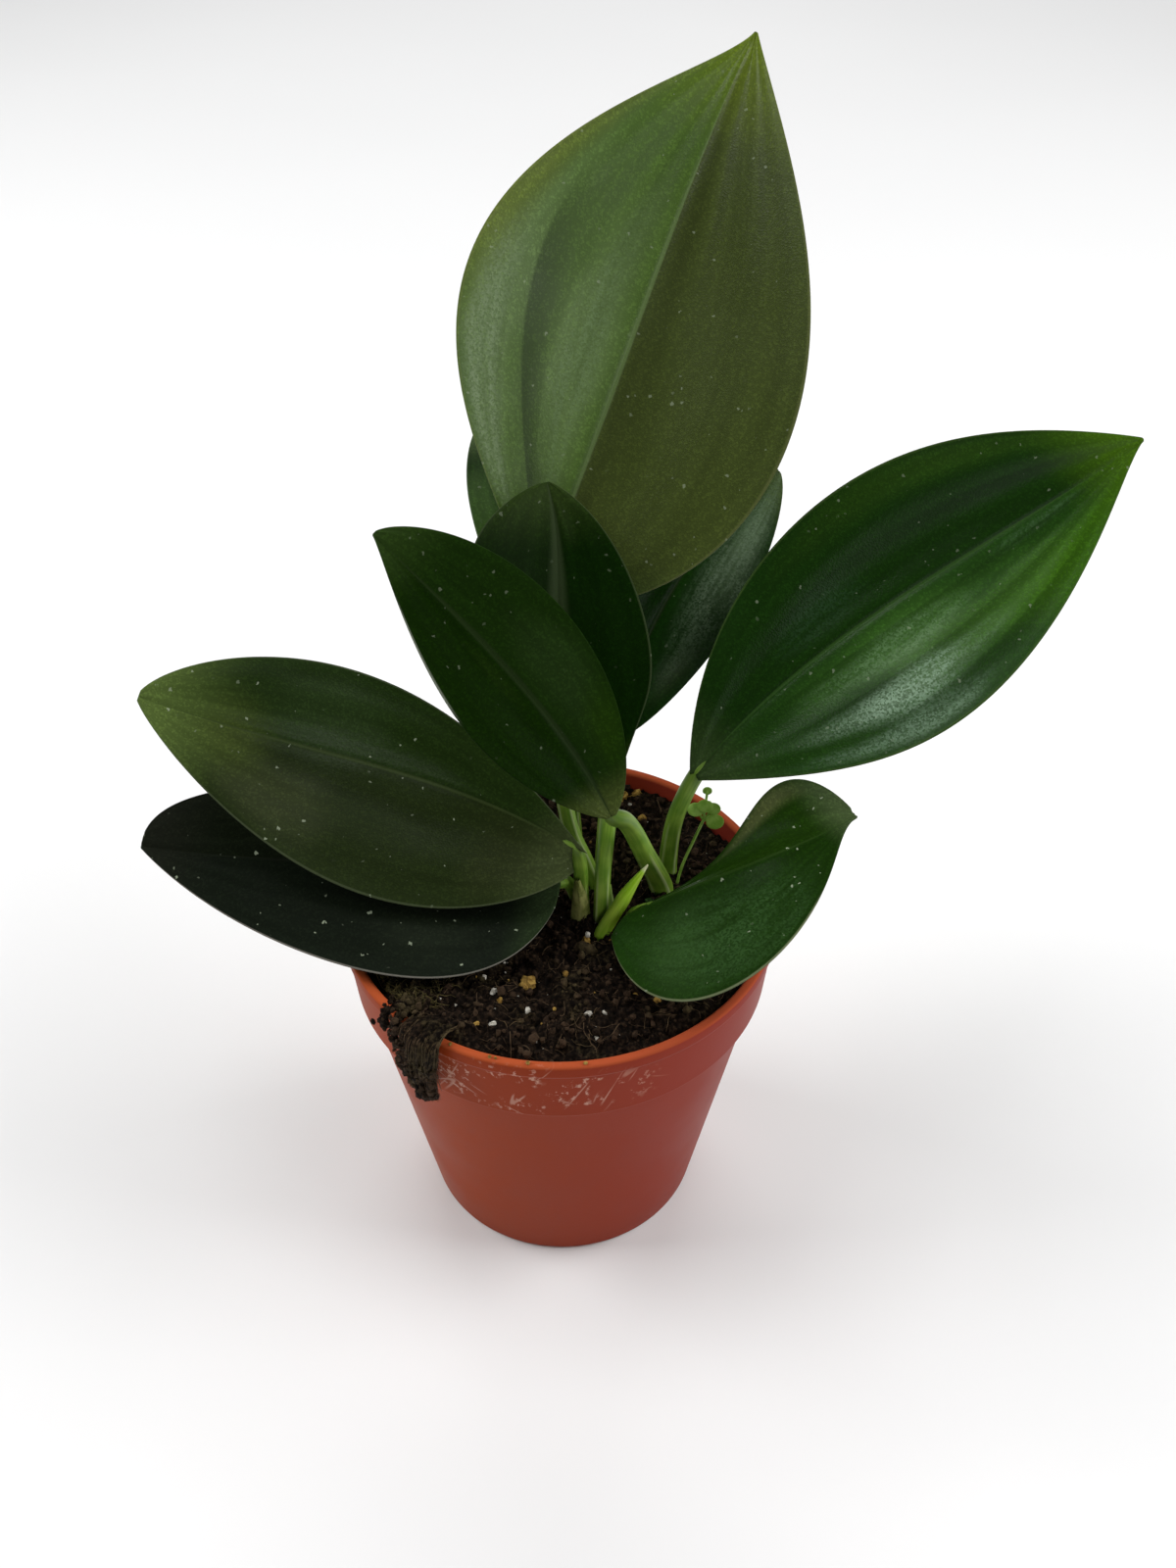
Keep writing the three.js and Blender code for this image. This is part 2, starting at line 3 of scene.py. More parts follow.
import bmesh
import bpy
import numpy as np
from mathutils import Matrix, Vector


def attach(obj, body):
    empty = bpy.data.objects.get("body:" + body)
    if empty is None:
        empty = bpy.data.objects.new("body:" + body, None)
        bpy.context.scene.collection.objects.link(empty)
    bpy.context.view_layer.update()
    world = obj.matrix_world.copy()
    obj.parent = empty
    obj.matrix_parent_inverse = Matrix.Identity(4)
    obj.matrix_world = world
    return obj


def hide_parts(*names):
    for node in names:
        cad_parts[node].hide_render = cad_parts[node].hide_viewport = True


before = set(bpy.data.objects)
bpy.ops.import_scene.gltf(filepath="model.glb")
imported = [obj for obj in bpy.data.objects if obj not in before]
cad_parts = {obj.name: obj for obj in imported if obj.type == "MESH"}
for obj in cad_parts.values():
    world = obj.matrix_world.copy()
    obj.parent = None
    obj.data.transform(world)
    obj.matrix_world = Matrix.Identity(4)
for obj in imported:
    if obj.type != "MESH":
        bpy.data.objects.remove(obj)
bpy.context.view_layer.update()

# Sizes, in millimetres, of the pot and the soil
MM = 0.001
POT_HEIGHT = 80
RIM_RADIUS = 45
BAND_HEIGHT = 16.5
FOOT_RADIUS = 30.5
POT_WALL = 1.2
FLOOR_HEIGHT = 2.5
LIP_WIDTH = 2
BAND_FOOT_RADIUS = RIM_RADIUS - 1.6
BODY_RADIUS = BAND_FOOT_RADIUS - 1.6
CORNER_ROUND = 0.45
DRAIN_HOLES = 6
DRAIN_RING = 19
DRAIN_RADIUS = 3.2
SOIL_LEVEL = 77.8
SKIRT_FOOT = 70.0
HOLE_FLOOR = 68
HOLE_FOOT = 74
CLEARANCE = 0.3

# Sizes, in millimetres, of the leaves, stalks and seedling
MIDDLE_THICKNESS = 0.78
MARGIN_THICKNESS = 0.34
MARGIN_ROUND = 0.13
GROOVE_DEPTH = 0.24
GROOVE_WIDTH = 0.6
RIB_HEIGHT = 0.7
RIB_WIDTH = 1.1
RIB_COVER = 0.85
QUILT_HEIGHT = 0.1
RIDGE_HEIGHT = 0.16
WING_RADIUS = 1.1
THREAD_RADIUS = 0.28
LEAFLET_THICKNESS = 0.3

# How far from the pot's axis, in millimetres, loose things lie, and the size of the crumbs on the lip
CRUMB_REACH = 41
FIBRE_START = 40.5
FIBRE_REACH = 41.3
TUFT_REACH = RIM_RADIUS + 3.2
LIP_MIDDLE = 44.1
LIP_CRUMB = 0.38

# Shares of a blade's length: where its surface starts and ends, and how far the stalk runs under it
BLADE_START = 0.006
BLADE_END = 0.996
RIB_REACH = 0.08

# The channel down a stalk, as a share of its radius
CHANNEL_DEPTH = 0.1

TURN = 2 * math.pi
NOISE_SIZE = 97
FINE_STEPS = 60

# The leaves, with the values of the CAD source. The base and tip of the midrib are points, and face is
# the way that the upper side looks. width is across both halves, of which left is the left one's share.
# full and point shape the outline of each half, left and then right, as do the folds and lobes.
LEAVES = {
    "leaf_1": {
        "base": (-6, 43, 125.5), "tip": (41, 118.5, 216.5), "face": (0.05, -0.76, 0.65),
        "width": 75.5, "left": 0.49, "full": (1.22, 0.61), "point": (1.4, 1.05),
        "fold": (12, 16), "bow": 2, "bend": (-0.5, -1.5), "ripple": 0.9,
        "foot": (7.4, 4.8), "stalk": (1.6, 1.8),
        "via": ((5.2, 7, 84), (2.4, 9, 90.5), (0.4, 14, 98.5), (-2.8, 30, 114)),
        "crease": (-1, 0.5, 1.3),
    },
    "leaf_2": {
        "base": (27, 11.5, 103), "tip": (123, 66.5, 150), "face": (-0.15, -0.62, 0.75),
        "width": 55, "left": 0.47, "full": (0.96, 0.91), "point": (0.96, 1.34),
        "fold": (12, 12), "bow": 3, "bend": (-3, 4), "lobe": (0.5, 0.5), "ripple": 0.7,
        "foot": (22.8, 12.4), "stalk": (2, 1.6), "via": ((24, 11.8, 92),),
        "crease": (1, 0.45, 0.7),
    },
    "leaf_3": {
        "base": (10, 7.5, 101.5), "tip": (-2.5, 48.5, 150), "face": (0.1, -0.85, 0.5),
        "width": 37.5, "left": 0.5, "full": (1.1, 0.69), "point": (0.54, 0.92),
        "fold": (16, 14), "bow": -1, "bend": (-4, 5.5), "twist": 4, "ripple": 0.3,
        "foot": (8.6, -4.6), "stalk": (1.7, 1.55), "via": ((8.8, -2.6, 89),),
        "wing": ((10.9, -4.1, 77), (9.9, -2.9, 86.5)),
    },
    "leaf_4": {
        "base": (10.5, -7.5, 108.5), "tip": (-35.5, 27.5, 150.5), "face": (0.05, -0.8, 0.6),
        "width": 29.5, "left": 0.47, "full": (0.8, 0.76), "point": (1.18, 0.71),
        "fold": (12, 14), "bow": 2, "bend": (3, -1.5), "ripple": 0.3,
        "foot": (21.2, 5.4), "stalk": (2.5, 1.7), "via": ((17.6, 2, 90), (13, -3.6, 104.5)),
    },
    "leaf_5": {
        "base": (3.5, -6, 99.5), "tip": (-85, 19.5, 117.5), "face": (0, -0.5, 0.87),
        "width": 45, "left": 0.59, "full": (0.54, 1.16), "point": (0.8, 0.68),
        "fold": (6, 8), "bow": -7, "bowShift": 0.5, "bend": (4.5, -2), "twist": 24,
        "lobe": (3, 3), "ripple": 0.4,
        "foot": (4.5, -2.2), "stalk": (1.7, 1.3), "via": ((4.4, -3.2, 86), (4.2, -4.6, 94)),
    },
    "leaf_6": {
        "base": (1, -6, 90.5), "tip": (-86, 4.5, 90.5), "face": (-0.05, -0.38, 0.92),
        "width": 41, "left": 0.59, "full": (0.46, 0.41), "point": (0.98, 0.39),
        "fold": (5, 16), "bow": 0, "bend": (0, -2), "twist": 6, "ripple": 0.3,
        "foot": (3.2, 2.4), "stalk": (1.4, 1.2), "via": ((2.2, 0.6, 83), (0.8, -2.8, 88)),
    },
    "leaf_7": {
        "base": (17.5, -11.6, 89.7), "tip": (59.4, 1.7, 101.1), "face": (0.05, -0.5, 0.87),
        "width": 41.3, "left": 0.4, "full": (1.4, 0.62), "point": (0.59, 1.83),
        "fold": (-51.2, 19.5), "foldChange": 60, "bow": 8.3, "bend": (2.5, 0.7),
        "roll": (0.5, 0.14), "lobe": (2, 9.7), "lobeShape": 0.25, "ripple": 0.2,
        "foot": (14.4, -5.2), "stalk": (1.4, 1.2), "via": ((15.1, -8, 83.4),),
    },
    "leaf_8": {
        "base": (12, 30, 102), "tip": (48.5, 80, 135), "face": (0, -0.75, 0.65),
        "width": 30, "left": 0.5, "full": (0.66, 0.66), "point": (0.72, 0.72),
        "fold": (12, 12), "bow": 2, "bend": (-5.5, 0), "lobe": (3, 3), "ripple": 0.3,
        "foot": (8.7, 11), "stalk": (1.5, 1.2), "via": ((9.4, 15.5, 90),),
    },
    "leaf_9": {
        "base": (-4, 42, 99.5), "tip": (-11, 102.5, 143), "face": (-0.1, -0.8, 0.6),
        "width": 35.5, "left": 0.5, "full": (0.92, 0.92), "point": (0.52, 0.52),
        "fold": (12, 12), "bow": 2, "bend": (6, 0), "lobe": (3, 3), "ripple": 0.3,
        "foot": (3, 22), "stalk": (1.5, 1.2), "via": ((1.8, 27, 88),),
    },
}
# What a leaf has where nothing else is given
PLAIN_LEAF = {
    "bowShift": 0, "twist": 0, "foldChange": 0, "roll": (0, 0), "lobe": (0, 0), "lobeShape": 2,
    "crease": (1, 0.5, 0),
}


def unit(v):
    return v / np.linalg.norm(v, axis=-1, keepdims=True)


def smooth(x):
    x = np.clip(x, 0, 1)
    return x * x * (3 - 2 * x)


def round_angles(count):
    return np.linspace(0, TURN, count, endpoint=False)


def lattice_noise(x, y, seed):
    """Smooth noise from -1 to 1, with one bump for about each unit square."""
    table = np.random.default_rng(seed).uniform(-1, 1, (NOISE_SIZE, NOISE_SIZE))
    x0 = np.floor(x).astype(int)
    y0 = np.floor(y).astype(int)
    fx = smooth(x - x0)
    fy = smooth(y - y0)
    x0 = x0 % NOISE_SIZE
    y0 = y0 % NOISE_SIZE
    x1 = (x0 + 1) % NOISE_SIZE
    y1 = (y0 + 1) % NOISE_SIZE
    low = table[x0, y0] * (1 - fx) + table[x1, y0] * fx
    high = table[x0, y1] * (1 - fx) + table[x1, y1] * fx
    return low * (1 - fy) + high * fy


# Pieces
def piece(name, points, faces, material, values=None, smooth_shading=True):
    """Makes a mesh piece from points in millimetres, with an optional vector for each point."""
    mesh = bpy.data.meshes.new(name)
    mesh.from_pydata((np.reshape(points, (-1, 3)) * MM).tolist(), [], faces)
    if values is not None:
        field = mesh.attributes.new("place", "FLOAT_VECTOR", "POINT")
        field.data.foreach_set("vector", np.asarray(values, float).ravel())
    mesh.update()
    if smooth_shading:
        mesh.shade_smooth()
    mesh.materials.append(material)
    made = bpy.data.objects.new(name, mesh)
    bpy.context.scene.collection.objects.link(made)
    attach(made, "root")
    return made


def ring_faces(rows, count, first=0):
    """Quads that join rings of points, with a face over each end."""
    index = first + np.arange(rows * count).reshape(rows, count)
    here = index[:-1]
    above = index[1:]
    quads = np.stack([here, np.roll(here, -1, 1), np.roll(above, -1, 1), above], -1).reshape(-1, 4)
    return [*quads.tolist(), index[0][::-1].tolist(), index[-1].tolist()]


def curve_points(points, steps):
    """Even steps along the centripetal curve through the points, as in the CAD source."""
    p = np.asarray(points, float)
    p = np.vstack([2 * p[0] - p[1], p, 2 * p[-1] - p[-2]])
    fine = []
    for i in range(1, len(p) - 2):
        d0, d1, d2 = (np.linalg.norm(p[k + 1] - p[k]) ** 0.5 for k in (i - 1, i, i + 1))
        a = (p[i] - p[i - 1]) / d0 - (p[i + 1] - p[i - 1]) / (d0 + d1) + (p[i + 1] - p[i]) / d1
        b = (p[i + 1] - p[i]) / d1 - (p[i + 2] - p[i]) / (d1 + d2) + (p[i + 2] - p[i + 1]) / d2
        a, b = a * d1, b * d1
        t = np.linspace(0, 1, FINE_STEPS, endpoint=False)[:, None]
        rest = 3 * (p[i + 1] - p[i]) - 2 * a - b
        cubic = 2 * (p[i] - p[i + 1]) + a + b
        fine.append(p[i] + a * t + rest * t**2 + cubic * t**3)
    fine = np.vstack([*fine, p[-2]])
    length = np.concatenate([[0], np.cumsum(np.linalg.norm(np.diff(fine, axis=0), axis=1))])
    even = np.linspace(0, length[-1], steps + 1)
    return np.stack([np.interp(even, length, fine[:, k]) for k in range(3)], -1)


def tube_points(centres, sides, radius):
    """Rings of points round a curve. radius(t, angle) gives each point's distance."""
    n = len(centres)
    tangents = unit(np.gradient(centres, axis=0))
    across = np.array([0.0, -1.0, 0.0])
    rings = []
    t = np.linspace(0, 1, n)
    angle = round_angles(sides)
    for i in range(n):
        across = unit(across - tangents[i] * (across @ tangents[i]))
        other = np.cross(tangents[i], across)
        spread = np.cos(angle)[:, None] * across + np.sin(angle)[:, None] * other
        rings.append(centres[i] + spread * radius(t[i], angle)[:, None])
    grid_t, grid_angle = np.meshgrid(t, angle, indexing="ij")
    return np.array(rings), grid_t, grid_angle


# Leaves
def midrib(leaf, v):
    """Points on the midrib, the way along it and the way up from it."""
    base = np.array(leaf["base"], float)
    axis = np.array(leaf["tip"], float) - base
    along = unit(axis)
    face = np.array(leaf["face"], float)
    up = unit(face - along * (face @ along))
    side = np.cross(along, up)
    arch = 4 * v * (1 - v)
    shift = 2 * v - 1
    rise = leaf["bow"] * arch * (1 + leaf["bowShift"] * shift)
    sway = arch * (leaf["bend"][0] + leaf["bend"][1] * shift)
    return base + axis * v + up * rise + side * sway, along, up


def half_width(leaf, k, v):
    """How far the margin of the left half, 0, or the right half, 1, lies from the midrib."""
    full = leaf["full"][k]
    point = leaf["point"][k]
    widest = full / (full + point)
    share = 1 - leaf["left"] if k else leaf["left"]
    top = widest**full * (1 - widest) ** point
    return leaf["width"] * share * v**full * (1 - v) ** point / top


def blade_grid(leaf, u, t):
    """The blade's middle surface, with a row for each t from base to tip and a column for each u."""
    v = (BLADE_START + (BLADE_END - BLADE_START) * t)[:, None, None]
    u = u[None, :, None]
    centre, axis, up = midrib(leaf, v)
    step = 0.001
    along = unit(midrib(leaf, v + step)[0] - midrib(leaf, v - step)[0])
    turn = np.radians(leaf["twist"] * (v - 0.5))
    up = up * np.cos(turn) + np.cross(axis, up) * np.sin(turn)
    up = unit(up - along * (along * up).sum(-1, keepdims=True))
    side = np.cross(along, up)
    right = u >= 0
    width = np.where(right, half_width(leaf, 1, v), half_width(leaf, 0, v))
    left_fold = leaf["fold"][0] + leaf["foldChange"] * (v - 0.5)
    fold = np.radians(np.where(right, leaf["fold"][1], left_fold))
    roll = np.where(right, leaf["roll"][1], leaf["roll"][0])
    lobe = np.where(right, leaf["lobe"][1], leaf["lobe"][0])
    far = np.abs(u)
    rise = width * far * np.sin(fold) + width * roll * far**2
    wave = leaf["ripple"] * np.sin(math.pi * v) * np.cos(3 * math.pi * u) * (1 - far**2)
    back = lobe * far ** leaf["lobeShape"] * (1 - v) ** 6
    side_of, crease_at, depth = leaf["crease"]
    tent = np.maximum(0, 1 - np.abs(u * side_of - crease_at) / 0.5)
    crease = -depth * tent * np.sin(math.pi * v)
    points = centre + side * width * u * np.cos(fold) + up * (rise + wave + crease) - along * back
    return points, (width * far)[..., 0]


def make_blade(name, leaf, material, rows=112, columns=84, seed=1):
    """A thin closed blade. Its points keep u, t and 0 on the upper side or 1 on the lower one."""
    even = np.linspace(0, 1, rows)
    t = 0.5 * even + 0.25 * (1 - np.cos(math.pi * even))
    s = np.linspace(-1, 1, columns + 1)
    u = s - 0.09 * np.sin(TURN * s)
    middle, off_rib = blade_grid(leaf, u, t)
    normal = unit(np.cross(np.gradient(middle, axis=1), np.gradient(middle, axis=0)))
    thick = MIDDLE_THICKNESS + (MARGIN_THICKNESS - MIDDLE_THICKNESS) * np.abs(u) ** 4
    thick = np.broadcast_to(thick, off_rib.shape)[..., None]
    along = t[:, None]
    groove = GROOVE_DEPTH * np.exp(-((off_rib / GROOVE_WIDTH) ** 2)) * (1 - 0.6 * along)
    rib = RIB_HEIGHT * (1 - along) * np.exp(-((off_rib / RIB_WIDTH) ** 2))
    bumps = lattice_noise(u[None, :] * 5 + 20, along * 9 + 3, seed)
    quilt = QUILT_HEIGHT * bumps * (1 - np.abs(u) ** 6)
    upper = middle + normal * (thick / 2 - groove[..., None] - QUILT_HEIGHT + quilt[..., None])
    lower = middle - normal * (thick / 2 + rib[..., None] - quilt[..., None])
    left = (upper[:, :1] + lower[:, :1]) / 2
    right = (upper[:, -1:] + lower[:, -1:]) / 2
    left = left + unit(middle[:, :1] - middle[:, 1:2]) * MARGIN_ROUND
    right = right + unit(middle[:, -1:] - middle[:, -2:-1]) * MARGIN_ROUND
    rings = np.concatenate([left, lower, right, upper[:, ::-1]], axis=1)
    across = np.concatenate([[-1], u, [1], u[::-1]])
    under = np.concatenate([[0.5], np.ones(len(u)), [0.5], np.zeros(len(u))])
    place = np.stack(np.broadcast_arrays(across[None, :], along, under[None, :]), -1)
    faces = ring_faces(rows, rings.shape[1])
    made = piece(name + "_blade", rings, faces, material, place)
    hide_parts(name)


def under_rib(leaf, t, depth):
    """A point under the midrib, where the stalk runs into it."""
    h = 0.01
    near = blade_grid(leaf, np.array([-h, 0, h]), np.array([max(0, t - h), t, t + h]))[0]
    normal = unit(np.cross(near[1, 2] - near[1, 0], near[2, 1] - near[0, 1]))
    return near[1, 1] - normal * depth


def in_hole(x, y):
    """The lowest points of a stem, from the floor of its hole to the soil."""
    return [(x, y, HOLE_FLOOR), (x, y, HOLE_FOOT), (x, y, SOIL_LEVEL)]


def stalk_centres(leaf, steps):
    """From the hole in the soil up and a little way along under the midrib."""
    depth = 0.95 * leaf["stalk"][1]
    top = [under_rib(leaf, 0, depth), under_rib(leaf, 0.03, depth)]
    top.append(under_rib(leaf, RIB_REACH, RIB_COVER))
    return curve_points([*in_hole(*leaf["foot"]), *leaf["via"], *top], steps)


def make_stalk(name, leaf, material, steps=90, sides=32, wing_sides=20):
    """A stalk. Its points keep how far round and along they are, and how far they stand on a ridge."""
    low, high = leaf["stalk"]
    ridges = (0.7, TURN - 0.7)

    def ridge(t, angle):
        """How far a point stands on one of the two ridges, which fade out half way up."""
        fade = 1 - smooth((t - 0.42) / 0.25)
        gap = [np.exp(-(((angle - at) / 0.16) ** 2)) for at in ridges]
        return (gap[0] + gap[1]) * fade

    def radius(t, angle):
        sheath = 0.2 * low * max(0.0, 1 - t / 0.5) ** 2
        round_off = (low + (high - low) * t + sheath) * min(1, 0.4 + 4 * (1 - t))
        channel = CHANNEL_DEPTH * np.exp(-((((angle + math.pi) % TURN - math.pi) / 0.5) ** 2))
        return round_off * (1 - channel) + RIDGE_HEIGHT * ridge(t, angle)

    rings, t, angle = tube_points(stalk_centres(leaf, steps), sides, radius)
    edge = np.array([ridge(x, angle[0]) for x in t[:, 0]])
    place = np.stack([angle / TURN, t, edge], -1)
    faces = ring_faces(len(rings), sides)
    points = rings.reshape(-1, 3)
    values = place.reshape(-1, 3)
    if "wing" in leaf:
        low_end, high_end = leaf["wing"]
        foot = (low_end[0], low_end[1], HOLE_FLOOR + 1.5)
        wing = curve_points([foot, low_end, high_end], 40)
        rings, t, angle = tube_points(wing, wing_sides, lambda t, a: WING_RADIUS - 0.5 * t + 0 * a)
        faces += ring_faces(len(rings), wing_sides, len(points))
        place = np.stack([angle / TURN, t * 0.4, 1 - t * 0.5], -1)
        points = np.vstack([points, rings.reshape(-1, 3)])
        values = np.vstack([values, place.reshape(-1, 3)])
    piece(name + "_stalk", points, faces, material, values)


# Shoot, sheath and seedling. A leaflet is x, y, z, radius.
SHOOT = {
    "foot": (8.3, -8.9), "via": ((12, -7, 84.6), (14.8, -4.9, 88.6)), "tip": (17.8, -2.7, 92),
    "radius": 1.45,
}
SHEATH = {"foot": (4.3, -5.5), "top": (3.7, -6.6, 91), "width": 4.4, "depth": 1.5, "thick": 0.7}
SEEDLING = {
    "foot": (24.6, 7.4), "via": ((25.6, 8.2, 81.5), (27.6, 10.2, 86)), "top": (30, 13.6, 89.6),
    "radius": 0.4, "tilt": 38,
    "leaflets": (
        (28.4, 15, 91.2, 1.6), (30.3, 15.3, 91.9, 1.5), (32, 15, 91.4, 1.4),
        (32.3, 12.9, 89.7, 1.7), (31, 19.4, 92.6, 0.9),
    ),
}


def make_shoot(material, steps=90, sides=36):
    centres = curve_points([*in_hole(*SHOOT["foot"]), *SHOOT["via"], SHOOT["tip"]], steps)

    def radius(t, angle):
        """The shoot is a rolled leaf, so a seam winds up round it."""
        wrapped = (angle - 5 * t + 1.2 + math.pi) % TURN - math.pi
        seam = 0.14 * np.exp(-((wrapped / 0.2) ** 2)) - 0.1 * np.exp(-(((wrapped + 0.35) / 0.2) ** 2))
        taper = min(1.0, 0.05 + 3.2 * (1 - t)) ** 0.8
        return (SHOOT["radius"] + seam + 0.05) * taper

    rings, t, angle = tube_points(centres, sides, radius)
    place = np.stack([angle / TURN, t, 0 * t], -1)
    faces = ring_faces(len(rings), sides)
    made = piece("shoot", rings, faces, material, place)
    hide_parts("new_shoot")


def make_sheath(material, steps=60):
    """A curved, crumpled strip that narrows to a ragged end."""
    x, y = SHEATH["foot"]
    points = [(x, y, HOLE_FLOOR), (x, y, SOIL_LEVEL), (x - 0.1, y - 0.4, 84), SHEATH["top"]]
    centres = curve_points(points, steps)
    w = np.linspace(-1, 1, 25)
    rows = []
    for i, centre in enumerate(centres):
        t = i / steps
        taper = 1 - 0.75 * t**3
        half = SHEATH["width"] / 2 * taper
        thick = SHEATH["thick"] / 2 * (1 - 0.6 * np.abs(w) ** 3)
        crumple = 0.12 * lattice_noise(w * 5, np.full_like(w, t * 9), 5)
        deep = SHEATH["depth"] * taper * w**2 + crumple * (w**2 < 0.98)
        ragged = 0.35 * lattice_noise(w * 7, np.full_like(w, 3.0), 9) * t**6
        outer = centre + np.stack([w * half, deep - thick, ragged], -1)
        inner = centre + np.stack([w * half, deep + thick, ragged], -1)
        rows.append(np.vstack([outer, inner[::-1]]))
    rings = np.array(rows)
    t = np.linspace(0, 1, len(rows))[:, None]
    across = np.concatenate([w, w[::-1]])[None, :]
    place = np.stack(np.broadcast_arrays(across, t, 0 * t), -1)
    faces = ring_faces(len(rings), rings.shape[1])
    made = piece("sheath", rings, faces, material, place)
    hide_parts("old_sheath")


def make_seedling(material, stem_sides=12, thread_sides=10, rows=18, sides=28):
    """A stem, and for each leaflet a thread and a flat disc. The third value is 1 on the discs."""
    x, y = SEEDLING["foot"]
    stem = curve_points([(x, y, 74.5), (x, y, 76.5), *SEEDLING["via"], SEEDLING["top"]], 50)
    top = np.array(SEEDLING["top"], float)
    tilt = math.radians(SEEDLING["tilt"])
    points = []
    faces = []
    values = []

    def add(rings, t, is_disc):
        first = sum(len(p) for p in points)
        faces.extend(ring_faces(*rings.shape[:2], first))
        points.append(rings.reshape(-1, 3))
        values.append(np.stack([0 * t, t, 0 * t + is_disc], -1).reshape(-1, 3))

    rings, t, _ = tube_points(stem, stem_sides, lambda t, a: 0.8 * SEEDLING["radius"] + 0 * a)
    add(rings, t, 0)
    for number, (lx, ly, lz, r) in enumerate(SEEDLING["leaflets"]):
        centre = np.array([lx, ly, lz])
        thread = np.linspace(top, centre, 12)
        rings, t, _ = tube_points(thread, thread_sides, lambda t, a: THREAD_RADIUS + 0 * a)
        add(rings, t, 0)
        polar = np.linspace(0.05, math.pi - 0.05, rows)[:, None]
        around = round_angles(sides)[None, :]
        notch = 1 - 0.1 * np.exp(-(((around - number) % TURN / 0.3) ** 2))
        flat_x = 1.15 * r * np.sin(polar) * np.cos(around) * notch
        flat_y = 0.95 * r * np.sin(polar) * np.sin(around) * notch
        flat_z = LEAFLET_THICKNESS * np.cos(polar) + 0.1 * (flat_x**2 + flat_y**2) / r - 0.05 * r
        turned_y = flat_y * math.cos(tilt) - flat_z * math.sin(tilt)
        turned_z = flat_y * math.sin(tilt) + flat_z * math.cos(tilt)
        disc = centre + np.stack([flat_x, turned_y, turned_z], -1)
        add(disc, np.full((rows, sides), 0.5), 1)
    made = piece("seedling", np.vstack(points), faces, material, np.vstack(values))
    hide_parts("weed_seedling")


# Pot
def body_radius(z):
    return FOOT_RADIUS + (BODY_RADIUS - FOOT_RADIUS) * z / (POT_HEIGHT - BAND_HEIGHT)


def inner_radius(z):
    """The inside of the pot's wall at a height, under the step and in the band."""
    step = POT_HEIGHT - BAND_HEIGHT
    if z < step:
        return body_radius(z) - POT_WALL
    share = (z - step) / BAND_HEIGHT
    return BODY_RADIUS - POT_WALL + (RIM_RADIUS - LIP_WIDTH - BODY_RADIUS + POT_WALL) * share


def rounded(profile, size, steps=4):
    """The profile with each corner between its ends replaced by a short curve."""
    points = [np.array(p, float) for p in profile]
    made = [points[0]]
    for before, corner, after in zip(points, points[1:], points[2:]):
        start = corner + unit(before - corner) * min(size, 0.45 * np.linalg.norm(before - corner))
        end = corner + unit(after - corner) * min(size, 0.45 * np.linalg.norm(after - corner))
        for k in range(steps + 1):
            s = k / steps
            made.append((1 - s) ** 2 * start + 2 * s * (1 - s) * corner + s**2 * end)
    made.append(points[-1])
    return np.array(made)


def make_pot(material, sides=192):
    """The pot's outline turned round its axis, from under the floor out, up and back in, with holes."""
    step = POT_HEIGHT - BAND_HEIGHT
    profile = [
        (0.01, 0), (7, 0), (7.6, FLOOR_HEIGHT - 1), (FOOT_RADIUS - 3.4, FLOOR_HEIGHT - 1),
        (FOOT_RADIUS - 2.8, 0), (FOOT_RADIUS - 0.5, 0), (FOOT_RADIUS, 0.5),
        (body_radius(step - 1), step - 1), (BAND_FOOT_RADIUS - 0.3, step),
        (BAND_FOOT_RADIUS, step + 0.4), (RIM_RADIUS - 0.5, POT_HEIGHT - 3.4),
        (RIM_RADIUS, POT_HEIGHT - 2.8), (RIM_RADIUS, POT_HEIGHT - 0.4),
        (RIM_RADIUS - 0.4, POT_HEIGHT), (RIM_RADIUS - LIP_WIDTH + 0.4, POT_HEIGHT),
        (inner_radius(POT_HEIGHT - 0.5), POT_HEIGHT - 0.5), (inner_radius(step), step),
        (inner_radius(FLOOR_HEIGHT), FLOOR_HEIGHT), (0.01, FLOOR_HEIGHT),
    ]
    line = rounded(profile, CORNER_ROUND)
    # Half a step on, so that no edge of the floor meets a corner of a drain hole
    angle = round_angles(sides) + math.pi / sides
    ring = np.stack([np.cos(angle), np.sin(angle)], -1)
    flat = line[:, None, 0, None] * ring[None]
    height = np.broadcast_to(line[:, None, 1, None], (len(line), sides, 1))
    rings = np.concatenate([flat, height], -1)
    faces = ring_faces(len(line), sides)
    made = piece("nursery_pot", rings, faces, material)
    cutters = []
    for i in range(DRAIN_HOLES):
        turn = (i + 0.5) * TURN / DRAIN_HOLES
        x = DRAIN_RING * math.cos(turn) * MM
        y = DRAIN_RING * math.sin(turn) * MM
        bpy.ops.mesh.primitive_cylinder_add(
            vertices=48, radius=DRAIN_RADIUS * MM, depth=8 * MM, location=(x, y, 2 * MM)
        )
        cutters.append(bpy.context.object)
    for cutter in cutters:
        cut = made.modifiers.new("hole", "BOOLEAN")
        cut.operation = "DIFFERENCE"
        cut.solver = "EXACT"
        cut.object = cutter
    graph = bpy.context.evaluated_depsgraph_get()
    pierced = bpy.data.meshes.new_from_object(made.evaluated_get(graph))
    made.modifiers.clear()
    made.data = pierced
    for cutter in cutters:
        bpy.data.objects.remove(cutter)
    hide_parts("pot")


